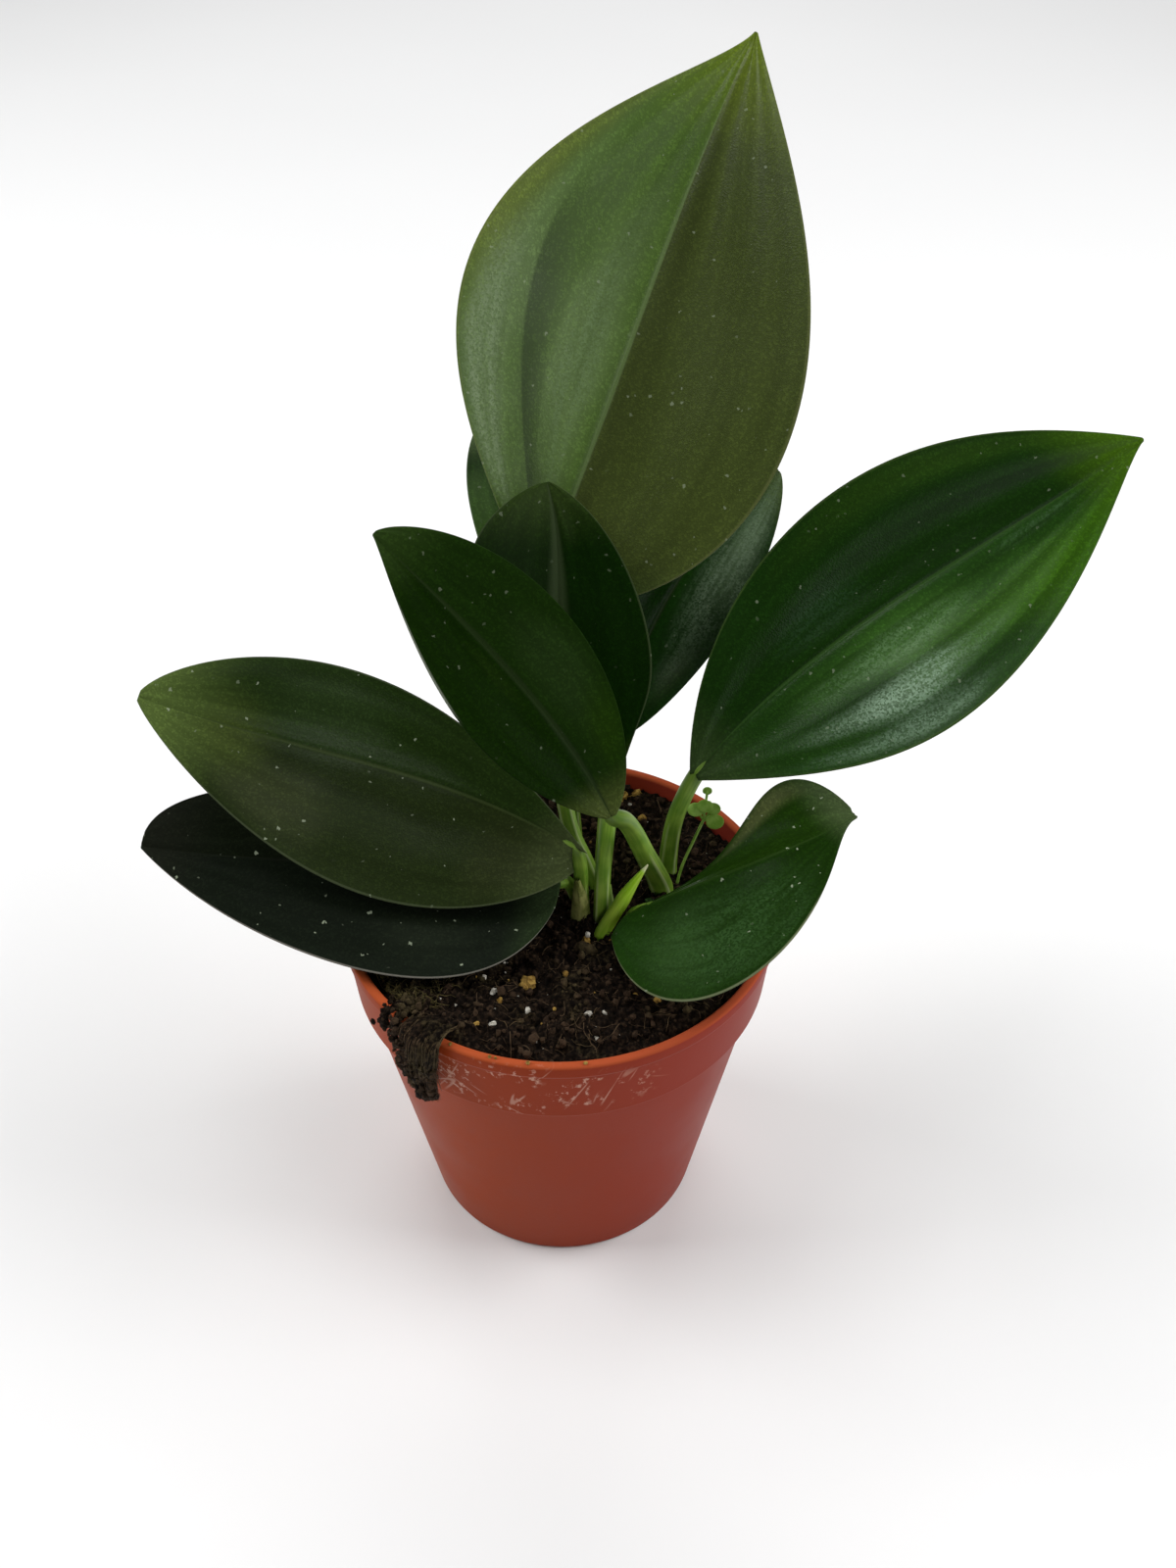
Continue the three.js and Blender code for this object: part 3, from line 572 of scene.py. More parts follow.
# Soil. A crumb is x, y, radius.
DARK_CRUMBS = ((5.4, -13.4, 1.7), (-0.8, 6.4, 1))
PALE_CRUMBS = (
    (-12.6, -24.9, 1), (-14.9, -21, 0.9), (-12.2, -33.2, 0.9), (-5.9, -30.2, 0.9), (5.8, -30.2, 0.9),
    (9, -29.7, 0.8), (7.5, -35.6, 0.8),
)
OCHRE_CRUMBS = (
    (-5.8, -21.5, 1.7), (16.6, 36.8, 1.7), (13.8, 35, 1.5), (12.6, 37.8, 1.2),
    (17.8, 28.3, 1.1), (-11.3, -26.9, 0.8), (19.3, -26.7, 0.8), (-6.9, -22.6, 1.1),
)
# The stump of an old stem: x, y, height over the peat, radius. The last lump is pale.
STUMP = ((5.2, -11.8, 0.2, 1.25), (5.4, -11.3, 1.4, 1.0), (5.7, -11.1, 2.6, 0.62))
# Angles, in degrees, of the tan crumbs that lie on the pot's lip
LIP_CRUMBS = (-120, -117, -106.5, -105, -97, -83)
# The strands of the tuft: angle in degrees, the height where it ends, radius
TUFT_STRANDS = (
    (234.5, 66.5, 1.5), (237, 64.8, 1.5), (239.5, 66, 1.4), (231.8, 70, 1.2), (228, 76, 1.1),
    (224.5, 77.5, 1.1),
)


def soil_height(x, y):
    """The soil's heaps and hollows, as in the CAD source."""
    r = np.hypot(x, y)
    heap = 1.7 * np.exp(-((x + 24) ** 2 + (y + 30) ** 2) / 160)
    hollow = -1.8 * np.exp(-((x - 28) ** 2 + (y - 18) ** 2) / 300)
    crown = 1.1 * np.exp(-((x - 9) ** 2 + (y + 3) ** 2) / 120)
    lumps = 0.55 * np.sin(0.61 * x + 1.3) * np.cos(0.53 * y - 0.4)
    crumbs = 0.2 * np.sin(1.27 * x - 0.9 * y) * np.sin(1.13 * y + 0.35 * x + 2)
    edge = -0.9 * np.maximum(0, (r - 37) / 5) ** 2
    return SOIL_LEVEL + heap + hollow + crown + lumps + crumbs + edge


def peat_height(x, y):
    """The soil's height with its clods and grains."""
    clods = 0.75 * lattice_noise(x * 0.42, y * 0.42, 21) + 0.6 * lattice_noise(x, y, 22)
    pits = 1.1 * np.minimum(0, 0.3 - np.abs(lattice_noise(x * 0.62 + 30, y * 0.62, 25)))
    grains = 0.34 * lattice_noise(x * 2.3, y * 2.3, 23) + 0.2 * lattice_noise(x * 4.6, y * 4.6, 24)
    return soil_height(x, y) + clods + pits + 0.2 + grains


def make_soil_bed(material, sides=520, rings=100):
    """The soil's surface as rings of points, with a skirt that hides its edge inside the pot."""
    outside = inner_radius(77) - 0.1
    radius = outside * np.linspace(0.004, 1, rings)[:, None]
    angle = round_angles(sides)[None, :]
    x = radius * np.cos(angle)
    y = radius * np.sin(angle)
    top = np.stack([x, y, np.minimum(peat_height(x, y), POT_HEIGHT + 1.2)], -1)
    low = inner_radius(SKIRT_FOOT) - CLEARANCE
    skirt = np.stack([low * np.cos(angle[0]), low * np.sin(angle[0]), np.full(sides, SKIRT_FOOT)], -1)
    points = np.concatenate([skirt[None], top[::-1]])
    faces = ring_faces(len(points), sides)
    made = piece("peat_bed", points, faces, material)
    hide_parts("soil")


def ball(subdivisions):
    """Points and faces of a round lump of radius 1."""
    mesh = bpy.data.meshes.new("ball")
    work = bmesh.new()
    bmesh.ops.create_icosphere(work, subdivisions=subdivisions, radius=1)
    work.to_mesh(mesh)
    work.free()
    points = np.array([v.co for v in mesh.vertices])
    faces = np.array([list(f.vertices) for f in mesh.polygons])
    bpy.data.meshes.remove(mesh)
    return points, faces


def make_lumps(name, lumps, material, subdivisions, rough, seed):
    """One piece made of many rough lumps, each given as x, y, z, radius."""
    random = np.random.default_rng(seed)
    shape, triangles = ball(subdivisions)
    points = []
    faces = []
    values = []
    for number, (x, y, z, radius) in enumerate(lumps):
        stretch = random.uniform(0.65, 1.25, 3)
        at_x = shape[:, 0] * 2.2 + 9 * number
        at_y = shape[:, 1] * 2.2 + shape[:, 2] * 3
        dents = 1 + rough * lattice_noise(at_x, at_y, seed)
        turn = random.uniform(0, TURN)
        c = math.cos(turn)
        s = math.sin(turn)
        lump = shape * stretch * dents[:, None] * radius
        lump = lump @ np.array([[c, s, 0], [-s, c, 0], [0, 0, 1]])
        faces.append(triangles + len(shape) * number)
        points.append(lump + (x, y, z))
        values.append(np.tile([random.uniform(), random.uniform(), 0.0], (len(shape), 1)))
    faces = np.vstack(faces).tolist()
    piece(name, np.vstack(points), faces, material, np.vstack(values), False)


def on_disc(random, reach):
    """A random point on a disc."""
    r = reach * math.sqrt(random.uniform())
    angle = random.uniform(0, TURN)
    return r * math.cos(angle), r * math.sin(angle)


def scattered(count, seed, low, high, reach=CRUMB_REACH, lift=0.3):
    """Crumbs strewn over the peat, most of them near the lowest size."""
    random = np.random.default_rng(seed)
    lumps = []
    for _ in range(count):
        x, y = on_disc(random, reach)
        size = low + (high - low) * random.uniform() ** 3
        lumps.append((x, y, float(peat_height(x, y)) + lift * size, size))
    return lumps


def on_peat(crumbs, share):
    """Crumbs given as x, y, radius, set on the peat with a share of that radius."""
    return [(x, y, float(peat_height(x, y)) + 0.2 * r, share * r) for x, y, r in crumbs]


def on_lip(angle):
    """A crumb on the pot's lip, at an angle in degrees."""
    x = LIP_MIDDLE * math.cos(math.radians(angle))
    y = LIP_MIDDLE * math.sin(math.radians(angle))
    return x, y, POT_HEIGHT + 0.2, LIP_CRUMB


def make_fibres(name, paths, radius, material, sides=4, steps=10):
    """One piece made of many thin tapering tubes, each with its own shade."""
    shades = np.random.default_rng(len(paths)).uniform(0, 1, len(paths))
    values = np.zeros((len(paths), (steps + 1) * sides, 3))
    values[:, :, 0] = shades[:, None]
    points = []
    faces = []
    for path in paths:
        centres = curve_points(path, steps)
        rings, _, _ = tube_points(centres, sides, lambda t, a: radius * (1 - 0.6 * t**3) + 0 * a)
        faces += ring_faces(steps + 1, sides, len(points) * (steps + 1) * sides)
        points.append(rings)
    piece(name, np.array(points), faces, material, values)


def kept_inside(x, y, reach):
    """The point, drawn in toward the pot's axis where it lies past a radius."""
    over = max(1.0, math.hypot(x, y) / reach)
    return x / over, y / over


def fibre_paths(count, seed, centre=(0, 0), reach=40):
    """Loose fibres that lie on the peat."""
    random = np.random.default_rng(seed)
    paths = []
    for _ in range(count):
        x, y = on_disc(random, reach)
        x, y = kept_inside(centre[0] + x, centre[1] + y, FIBRE_START)
        heading = random.uniform(0, TURN)
        path = []
        for _ in range(5):
            path.append((x, y, float(peat_height(x, y)) + random.uniform(0.0, 0.7)))
            heading += random.normal(0, 0.32)
            x += random.uniform(0.6, 1.5) * math.cos(heading)
            y += random.uniform(0.6, 1.5) * math.sin(heading)
            x, y = kept_inside(x, y, FIBRE_REACH)
        paths.append(path)
    return paths


def strand_path(angle, end, radius, swing=0.0, out=0.0):
    """A strand of the tuft: from the soil over the lip and down the pot's side to a height."""
    outside = RIM_RADIUS + CLEARANCE + radius + 0.1
    over = POT_HEIGHT + CLEARANCE + radius + 0.15

    def at(r, z, turn=0.0):
        a = math.radians(angle + turn + swing)
        return ((r + out) * math.cos(a), (r + out) * math.sin(a), z)

    return [
        at(36, 78), at(40, 79.8), at(43.2, over, 0.3), at(outside - 0.2, over - 0.5, 0.5),
        at(outside + 0.35, POT_HEIGHT - 1.5, 0.5), at(outside + 0.15, (POT_HEIGHT + end) / 2, -0.4),
        at(outside + 0.1, end, 0.4),
    ]


def make_tuft_core(material, steps=60, sides=18):
    """The dark inside of the tuft."""
    points = []
    faces = []
    for number, (angle, end, radius) in enumerate(TUFT_STRANDS):
        centres = curve_points(strand_path(angle, end, radius), steps)

        def rough(t, a):
            bulge = radius * (0.6 + 0.15 * math.cos(9 * t + angle))
            dents = lattice_noise(3 * np.cos(a) + 5, 3 * np.sin(a) + 40 * t, number)
            return bulge * (1 + 0.22 * dents)

        rings, _, _ = tube_points(centres, sides, rough)
        faces += ring_faces(steps + 1, sides, len(points) * (steps + 1) * sides)
        points.append(rings)
    piece("tuft_core", np.array(points), faces, material)


def tuft_paths(count, seed):
    """Hairs that run down the outer side of each strand."""
    random = np.random.default_rng(seed)
    paths = []
    for angle, end, radius in TUFT_STRANDS[:4]:
        for _ in range(count):
            side = math.radians(random.uniform(-115, 115))
            far = radius * random.uniform(0.55, 1.0)
            swing = math.degrees(far * math.sin(side) / RIM_RADIUS)
            drop = random.uniform(0.0, 9.0)
            path = strand_path(angle, end + drop, radius, swing, far * math.cos(side))
            jitter = random.normal(0, 0.2, (len(path), 3))
            paths.append(np.array(path) + jitter * np.array([0, 0.4, 0.6, 1, 1, 1, 1])[:, None])
    return paths


def clod_lumps(count, seed, strands, first, least, steps=60):
    """Crumbs that cling to strands, from a share of their length on and no nearer than a radius."""
    random = np.random.default_rng(seed)
    lines = [curve_points(strand_path(*strand), steps) for strand in strands]
    lumps = []
    for _ in range(count):
        line = lines[random.integers(len(lines))]
        x, y, z = line[int(random.uniform(steps * first, steps))]
        shift = random.normal(0, 0.7, 3)
        reach = max(1.0, least / math.hypot(x + shift[0], y + shift[1]))
        size = random.uniform(0.25, 0.85)
        lumps.append(((x + shift[0]) * reach, (y + shift[1]) * reach, z + abs(shift[2]), size))
    return lumps


# Materials
def colour(red, green, blue):
    """A screen colour, 0 to 255, as the linear values that shaders take."""
    screen = [c / 255 for c in (red, green, blue)]
    linear = [c / 12.92 if c < 0.0405 else ((c + 0.055) / 1.055) ** 2.4 for c in screen]
    return (*linear, 1.0)


class Shader:
    """A node material with short ways to add nodes. Every value is a socket or a constant."""

    def __init__(self, name):
        self.material = bpy.data.materials.new(name)
        self.material.use_nodes = True
        self.tree = self.material.node_tree
        self.surface = self.tree.nodes["Principled BSDF"]
        self.base = None

    def node(self, kind, **settings):
        made = self.tree.nodes.new(kind)
        for key, value in settings.items():
            setattr(made, key, value)
        return made

    def put(self, socket, value):
        if isinstance(value, bpy.types.NodeSocket):
            self.tree.links.new(value, socket)
        else:
            socket.default_value = value

    def calc(self, operation, first, second=0.0, third=0.0):
        made = self.node("ShaderNodeMath", operation=operation)
        self.put(made.inputs[0], first)
        self.put(made.inputs[1], second)
        self.put(made.inputs[2], third)
        return made.outputs[0]

    def plus(self, first, second):
        return self.calc("ADD", first, second)

    def minus(self, first, second):
        return self.calc("SUBTRACT", first, second)

    def times(self, first, second):
        return self.calc("MULTIPLY", first, second)

    def ramp(self, value, low, high, out_low=0.0, out_high=1.0):
        """A smooth step from out_low where the value is low to out_high where it is high."""
        made = self.node("ShaderNodeMapRange", interpolation_type="SMOOTHSTEP")
        settings = (value, low, high, out_low, out_high)
        for socket, setting in zip(made.inputs, settings):
            self.put(socket, setting)
        return made.outputs[0]

    def mix(self, share, first, second, blend="MIX"):
        made = self.node("ShaderNodeMix", data_type="RGBA", blend_type=blend)
        for socket, value in zip((made.inputs[0], made.inputs[6], made.inputs[7]), (share, first, second)):
            self.put(socket, value)
        self.base = made.outputs[2]

    def start(self, share, first, second):
        """The first colour of the surface, between two screen colours."""
        self.mix(share, colour(*first), colour(*second))

    def paint(self, share, screen_colour):
        """Covers a share of what is there with a colour."""
        self.mix(share, self.base, colour(*screen_colour))

    def tint(self, share, factors):
        """Lightens or darkens a share of what is there."""
        self.mix(share, self.base, (*factors, 1.0), "MULTIPLY")

    def place(self):
        """The piece's own coordinates, stored with its points."""
        made = self.node("ShaderNodeAttribute", attribute_name="place")
        return self.split(made.outputs["Vector"])

    def split(self, vector):
        made = self.node("ShaderNodeSeparateXYZ")
        self.put(made.inputs[0], vector)
        return made.outputs

    def channels(self, value):
        """The red, green and blue of a colour."""
        made = self.node("ShaderNodeSeparateColor")
        self.put(made.inputs[0], value)
        return made.outputs

    def object_place(self):
        return self.node("ShaderNodeTexCoord").outputs["Object"]

    def stretched(self, x, y, scales, z=0.0):
        """A place for a texture, with its own scale for x and for y."""
        x = self.times(x, scales[0])
        y = self.times(y, scales[1])
        made = self.node("ShaderNodeCombineXYZ")
        for socket, value in zip(made.inputs, (x, y, z)):
            self.put(socket, value)
        return made.outputs[0]

    def noise(self, vector, scale, detail=3.0, rough=0.5):
        made = self.node("ShaderNodeTexNoise")
        self.put(made.inputs["Vector"], vector)
        made.inputs["Scale"].default_value = scale
        made.inputs["Detail"].default_value = detail
        made.inputs["Roughness"].default_value = rough
        return made.outputs[0]

    def cells(self, vector, scale):
        made = self.node("ShaderNodeTexVoronoi")
        self.put(made.inputs["Vector"], vector)
        made.inputs["Scale"].default_value = scale
        return made.outputs

    def bump(self, height, strength, distance, normal=None):
        made = self.node("ShaderNodeBump")
        made.inputs["Strength"].default_value = strength
        made.inputs["Distance"].default_value = distance
        self.put(made.inputs["Height"], height)
        if normal:
            self.put(made.inputs["Normal"], normal)
        return made.outputs[0]

    def finish(self, rough, normal=None, **constants):
        self.put(self.surface.inputs["Base Color"], self.base)
        self.put(self.surface.inputs["Roughness"], rough)
        if normal:
            self.put(self.surface.inputs["Normal"], normal)
        for key, value in constants.items():
            self.surface.inputs[key.replace("_", " ")].default_value = value
        return self.material


# How each leaf looks. u runs from -1 at the left margin to 1 at the right one, and t from base to tip.
# The left and right colours are partly the leaf's own colour and partly painted light and shade, where
# one half faces the light more than the other. A patch or a sheen is u, t, half its width and length,
# its colour and strength. The patches are partly the leaf's own colour and partly painted sheen and
# painted shade; the sheens are painted sheen. A crease is u at the base, the slope of its line, where it
# starts and stops, and its strength; it paints shade along a fold. The rim is the side, -1 or 1 or 0 for
# both, the width, where it starts and stops, and its strength.
LOOKS = {
    "leaf_1": {
        # The left half is lighter than the right as painted light, where it faces the light more.
        "left": (60, 82, 32), "right": (52, 62, 25), "foot": (40, 56, 24), "tip": (84, 100, 22),
        "rib": (92, 112, 66), "rib_width": 0.02, "margin": (128, 132, 84),
        "gloss": 0.3, "rough": 0.33, "dust": 0.5,
        # Painted sheen: the two lighter grey-green patches on the left half; painted shade: the two darker
        # ones.
        "patches": (
            (-0.24, 0.4, 0.24, 0.34, (88, 106, 66), 0.6), (-0.8, 0.4, 0.24, 0.4, (92, 110, 72), 0.6),
            (-0.52, 0.42, 0.1, 0.34, (54, 71, 34), 0.6), (0.1, 0.5, 0.12, 0.5, (43, 51, 20), 0.6),
            (-1.0, 0.62, 0.2, 0.3, (84, 96, 22), 0.6),
        ),
        "sheen": (
            (-0.84, 0.3, 0.16, 0.26, (126, 144, 110), 0.85), (-0.26, 0.4, 0.16, 0.28, (106, 128, 88), 0.65),
        ),
        "creases": (
            (-0.43, -0.45, 0.08, 0.6, 0.75), (-0.2, -0.1, 0.35, 0.85, 0.3), (0.45, 0.2, 0.3, 0.9, 0.18),
        ),
    },
    "leaf_2": {
        # The lower, right half is lighter than the upper one as painted light, where it faces the light.
        "left": (16, 38, 7), "right": (25, 51, 13), "foot": (44, 60, 30), "tip": (52, 80, 10),
        "rib": (44, 72, 28), "rib_width": 0.025, "margin": (92, 112, 60),
        "gloss": 0.1, "rough": 0.27, "dust": 0.4,
        # Painted sheen, with some of the leaf's own yellow-green near the tip: the lighter patches on the
        # right half.
        "patches": (
            (0.25, 0.45, 0.2, 0.24, (53, 86, 33), 0.55), (0.55, 0.62, 0.24, 0.26, (56, 92, 27), 0.6),
            (0.8, 0.78, 0.3, 0.2, (49, 84, 11), 0.6), (-0.85, 0.66, 0.2, 0.3, (36, 59, 14), 0.5),
        ),
        "sheen": (
            (0.28, 0.42, 0.12, 0.2, (88, 118, 78), 0.75), (0.62, 0.38, 0.15, 0.2, (122, 148, 122), 0.9),
            (0.88, 0.34, 0.1, 0.2, (98, 124, 98), 0.75), (-0.3, 0.34, 0.2, 0.1, (44, 68, 44), 0.5),
            (0.12, 0.74, 0.08, 0.12, (66, 94, 60), 0.5),
        ),
        "creases": (
            (0.45, 0, 0.2, 0.8, 0.55), (0.14, 0, 0.1, 0.9, 0.4), (0.74, 0, 0.25, 0.75, 0.45),
            (-0.5, 0, 0.2, 0.85, 0.3), (-0.25, 0, 0.15, 0.8, 0.25),
        ),
    },
    "leaf_3": {
        "left": (10, 27, 2), "right": (8, 26, 2), "foot": (36, 47, 14), "tip": (38, 52, 20),
        "rib": (48, 60, 36), "rib_width": 0.17, "margin": (96, 108, 76),
        "patches": ((0.3, 0.9, 0.2, 0.12, (36, 52, 24), 0.5), (-0.75, 0.45, 0.16, 0.2, (21, 37, 7), 0.5)),
    },
    "leaf_4": {
        "left": (12, 29, 2), "right": (18, 36, 6), "foot": (64, 74, 34), "tip": (36, 54, 18),
        "rib": (34, 48, 22), "rib_width": 0.07, "margin": (130, 136, 120),
        "patches": (
            (0.5, 0.38, 0.42, 0.2, (31, 48, 19), 0.6), (0.7, 0.2, 0.4, 0.12, (27, 48, 5), 0.6),
            (-0.2, 0.5, 0.12, 0.14, (23, 39, 8), 0.5),
        ),
        "rim": (-1, 0.035, 0.5, 0.8, 0.6),
    },
    "leaf_5": {
        "left": (26, 35, 13), "right": (25, 39, 12), "foot": (52, 60, 34), "tip": (72, 88, 42),
        "rib": (50, 61, 32), "rib_width": 0.03, "margin": (110, 120, 92),
        "gloss": 0.05, "dust": 0.8,
        "patches": (
            (-0.6, 0.68, 0.4, 0.2, (50, 56, 34), 0.6), (0.4, 0.62, 0.5, 0.16, (40, 55, 28), 0.5),
            (-0.5, 0.12, 0.6, 0.1, (39, 44, 23), 0.5), (-0.1, 0.82, 0.7, 0.12, (59, 71, 30), 0.6),
        ),
        "sheen": ((0.1, 0.55, 0.3, 0.3, (52, 62, 44), 0.5),),
    },
    "leaf_6": {
        # The very dark colours are partly the leaf's own dark green and partly painted shade.
        "left": (16, 21, 14), "right": (16, 21, 12), "foot": (34, 46, 26), "tip": (24, 26, 20),
        "rib": (26, 30, 22), "rib_width": 0.03, "margin": (142, 138, 128),
        "gloss": 0.02, "dust": 1.0,
        "patches": ((-0.55, 0.3, 0.4, 0.16, (26, 32, 22), 0.6),),
        "rim": (-1, 0.014, 0.0, 0.95, 0.5),
    },
    "leaf_7": {
        "left": (20, 40, 5), "right": (17, 37, 5), "foot": (24, 50, 10), "tip": (60, 74, 44),
        "rib": (34, 54, 18), "rib_width": 0.03, "margin": (150, 156, 120),
        "gloss": 0.06, "rough": 0.33, "dust": 1.0,
        # Painted reflection: the pale patch at the left margin, where the upper half curls away.
        "patches": (
            (0.6, 0.15, 0.5, 0.14, (38, 62, 25), 0.6), (-0.85, 0.6, 0.2, 0.3, (74, 79, 47), 0.6),
        ),
        "sheen": ((0.6, 0.3, 0.5, 0.4, (54, 84, 44), 0.6),),
        "rim": (1, 0.02, 0.0, 0.6, 0.35),
        "underside": (30, 52, 20),
    },
    "leaf_8": {
        "left": (8, 29, 2), "right": (16, 42, 7), "foot": (14, 38, 6), "tip": (62, 76, 44),
        "rib": (34, 46, 24), "rib_width": 0.04, "margin": (70, 92, 60),
        "gloss": 0.2, "rough": 0.3,
        # Painted reflection: the silvery patch and the sheen on the right half.
        "patches": ((0.6, 0.72, 0.4, 0.3, (92, 111, 83), 0.6), (0.7, 0.2, 0.3, 0.14, (51, 64, 40), 0.5)),
        "sheen": ((0.6, 0.6, 0.45, 0.45, (112, 132, 106), 0.85),),
    },
    "leaf_9": {
        "left": (15, 35, 4), "right": (12, 28, 3), "foot": (22, 38, 8), "tip": (88, 104, 66),
        "rib": (40, 54, 26), "rib_width": 0.04, "margin": (96, 116, 78),
        "patches": ((-0.9, 0.62, 0.3, 0.2, (58, 83, 36), 0.6),),
    },
}
# What a leaf's look has where nothing else is given
PLAIN_LOOK = {
    "gloss": 0.08, "rough": 0.34, "dust": 0.3, "sheen": (), "creases": (),
    "rim": (0, 0.02, 0.0, 1.0, 0.2), "underside": (78, 98, 60),
}
SPECKS = (150, 160, 136)


# Scales of the textures, per metre, or per unit of u and t
CLOUD_SCALE = 38
CELL_SCALE = 2600
SPECK_SCALE = 460
SPECK_EDGE_SCALE = 1400
SPECK_EDGE_SHIFT = 0.0011
BAND_STRETCH = (9, 2)
STREAK_STRETCH = (16, 5)
VEINS = 110
VEIN_SLANT = 0.4

# Factors that lighten or darken what lies under them. The bands are painted sheen, the flecks
# painted glints and the creases painted shade along folds; the veins are their own colour.
BAND_PAINTED_SHEEN = (1.9, 1.9, 1.9)
VEIN_LIGHT = (1.7, 1.7, 1.6)
FLECK_PAINTED_GLINT = (1.8, 1.8, 1.7)
CREASE_SHADE = (0.35, 0.38, 0.33)


def patch_share(shader, u, t, cloud, patch):
    """How much of a patch shows: its strength in the middle, and none past its cloudy edge."""
    at_u, at_t, wide, long, _, strength = patch
    du = shader.calc("DIVIDE", shader.minus(u, at_u), wide)
    dt = shader.calc("DIVIDE", shader.minus(t, at_t), long)
    off = shader.plus(shader.calc("SQRT", shader.plus(shader.times(du, du), shader.times(dt, dt))), cloud)
    return shader.ramp(off, 0.7, 1.7, strength, 0.0)


def between(shader, value, start, stop, soft):
    """1 from start to stop, with soft ends."""
    rise = shader.ramp(value, start - soft, start + soft)
    return shader.times(rise, shader.ramp(value, stop - soft, stop + soft, 1.0, 0.0))


def crease_share(shader, u, t, crease):
    """A slanting fold line along the blade, with painted shade that fades away on one side of it."""
    at_u, slope, start, stop, strength = crease
    line = shader.minus(u, shader.calc("MULTIPLY_ADD", t, slope, at_u))
    shade = shader.times(shader.ramp(line, -0.012, 0.012), shader.ramp(line, 0.0, 0.2, strength, 0.0))
    return shader.times(shade, between(shader, t, start, stop, 0.1))


def speck_share(shader, here, dust):
    """Small pale specks of uneven shape, size and strength."""
    spread = shader.node("ShaderNodeTexNoise")
    shader.put(spread.inputs["Vector"], here)
    spread.inputs["Scale"].default_value = SPECK_EDGE_SCALE
    shifted = shader.node("ShaderNodeVectorMath", operation="MULTIPLY_ADD")
    shader.put(shifted.inputs[0], spread.outputs["Color"])
    shifted.inputs[1].default_value = (SPECK_EDGE_SHIFT, SPECK_EDGE_SHIFT, SPECK_EDGE_SHIFT)
    shader.put(shifted.inputs[2], here)
    specks = shader.cells(shifted.outputs[0], SPECK_SCALE)
    picked = shader.channels(specks["Color"])
    chosen = shader.ramp(picked[1], 0.55, 0.9)
    size = shader.plus(shader.times(picked[0], 0.1), 0.04)
    spot = shader.ramp(shader.minus(specks["Distance"], size), 0.0, 0.05, dust * 0.8, 0.0)
    return shader.times(spot, chosen)


def leaf_shader(name, look):
    shader = Shader(name)
    u, t, under = shader.place()
    here = shader.object_place()
    far = shader.calc("ABSOLUTE", u)
    cloud = shader.noise(here, CLOUD_SCALE, 3)
    # Each half's colour, partly the leaf's own and partly painted light and shade where one half faces the
    # light
    right = shader.ramp(u, -0.02, 0.02)
    shader.start(right, look["left"], look["right"])
    # Patches, partly the leaf's own colour and partly painted sheen and painted shade
    for patch in look["patches"]:
        shader.paint(patch_share(shader, u, t, cloud, patch), patch[4])
    shader.paint(shader.ramp(t, 0.0, 0.13, 0.9, 0.0), look["foot"])
    tip = shader.plus(t, shader.times(cloud, 0.12))
    shader.paint(shader.ramp(tip, 0.84, 1.06, 0.0, 0.9), look["tip"])

    # Soft lighter bands along the blade as painted sheen off its long folds, fainter veins that slant to
    # the margin, and a granular surface with painted glints
    band = shader.noise(shader.stretched(u, t, BAND_STRETCH), 1, 4)
    shader.tint(shader.ramp(band, 0.3, 0.75, 0.0, 0.3), BAND_PAINTED_SHEEN)
    slant = shader.minus(t, shader.times(far, VEIN_SLANT))
    wave = shader.calc("SINE", shader.plus(shader.times(slant, VEINS), cloud))
    veins = shader.ramp(wave, 0.7, 1.0)
    shader.tint(shader.times(veins, 0.05), VEIN_LIGHT)
    cells = shader.cells(here, CELL_SCALE)
    fleck = shader.channels(cells["Color"])
    # Painted glints: random grains of the surface lightened
    painted_glint = shader.ramp(fleck[0], 0.55, 1.0, 0.0, 0.5)
    shader.tint(painted_glint, FLECK_PAINTED_GLINT)
    # Painted shade along the blade's folds
    for crease in look["creases"]:
        shader.tint(crease_share(shader, u, t, crease), CREASE_SHADE)
    # Painted sheen: each sheen patch, broken into grainy streaks
    streaks = shader.noise(shader.stretched(u, t, STREAK_STRETCH), 1, 5)
    streaky = shader.ramp(streaks, 0.3, 0.6, 0.25, 1.0)
    painted_sheen_grain = shader.times(streaky, shader.ramp(fleck[2], 0.1, 0.9, 0.25, 1.0))
    for patch in look["sheen"]:
        share = shader.times(patch_share(shader, u, t, cloud, patch), painted_sheen_grain)
        shader.paint(share, patch[4])

    # The midrib, the margin, the specks and the underside
    taper = shader.ramp(t, 0.55, 1.0, 1.0, 0.45)
    off_rib = shader.calc("DIVIDE", far, taper)
    rib_width = look["rib_width"]
    rib = shader.ramp(off_rib, rib_width * 0.25, rib_width, 0.75, 0.0)
    shader.paint(rib, look["rib"])
    side, width, start, stop, strength = look["rim"]
    reach = shader.times(u, side) if side else far
    edge = shader.ramp(reach, 1 - width, 1 - width * 0.3, 0.0, strength)
    edge = shader.times(edge, between(shader, t, start, stop, 0.06))
    shader.paint(edge, look["margin"])
    shader.paint(speck_share(shader, here, look["dust"]), SPECKS)
    shader.paint(shader.ramp(under, 0.5, 0.9), look["underside"])

    grain = shader.bump(cells["Distance"], 0.15, 0.0002)
    relief = shader.plus(band, shader.times(veins, 0.12))
    normal = shader.bump(relief, 0.12, 0.0004, grain)
    rough = shader.ramp(cloud, 0.3, 0.7, look["rough"] - 0.05, look["rough"] + 0.07)
    return shader.finish(rough, normal, Specular_IOR_Level=look["gloss"])


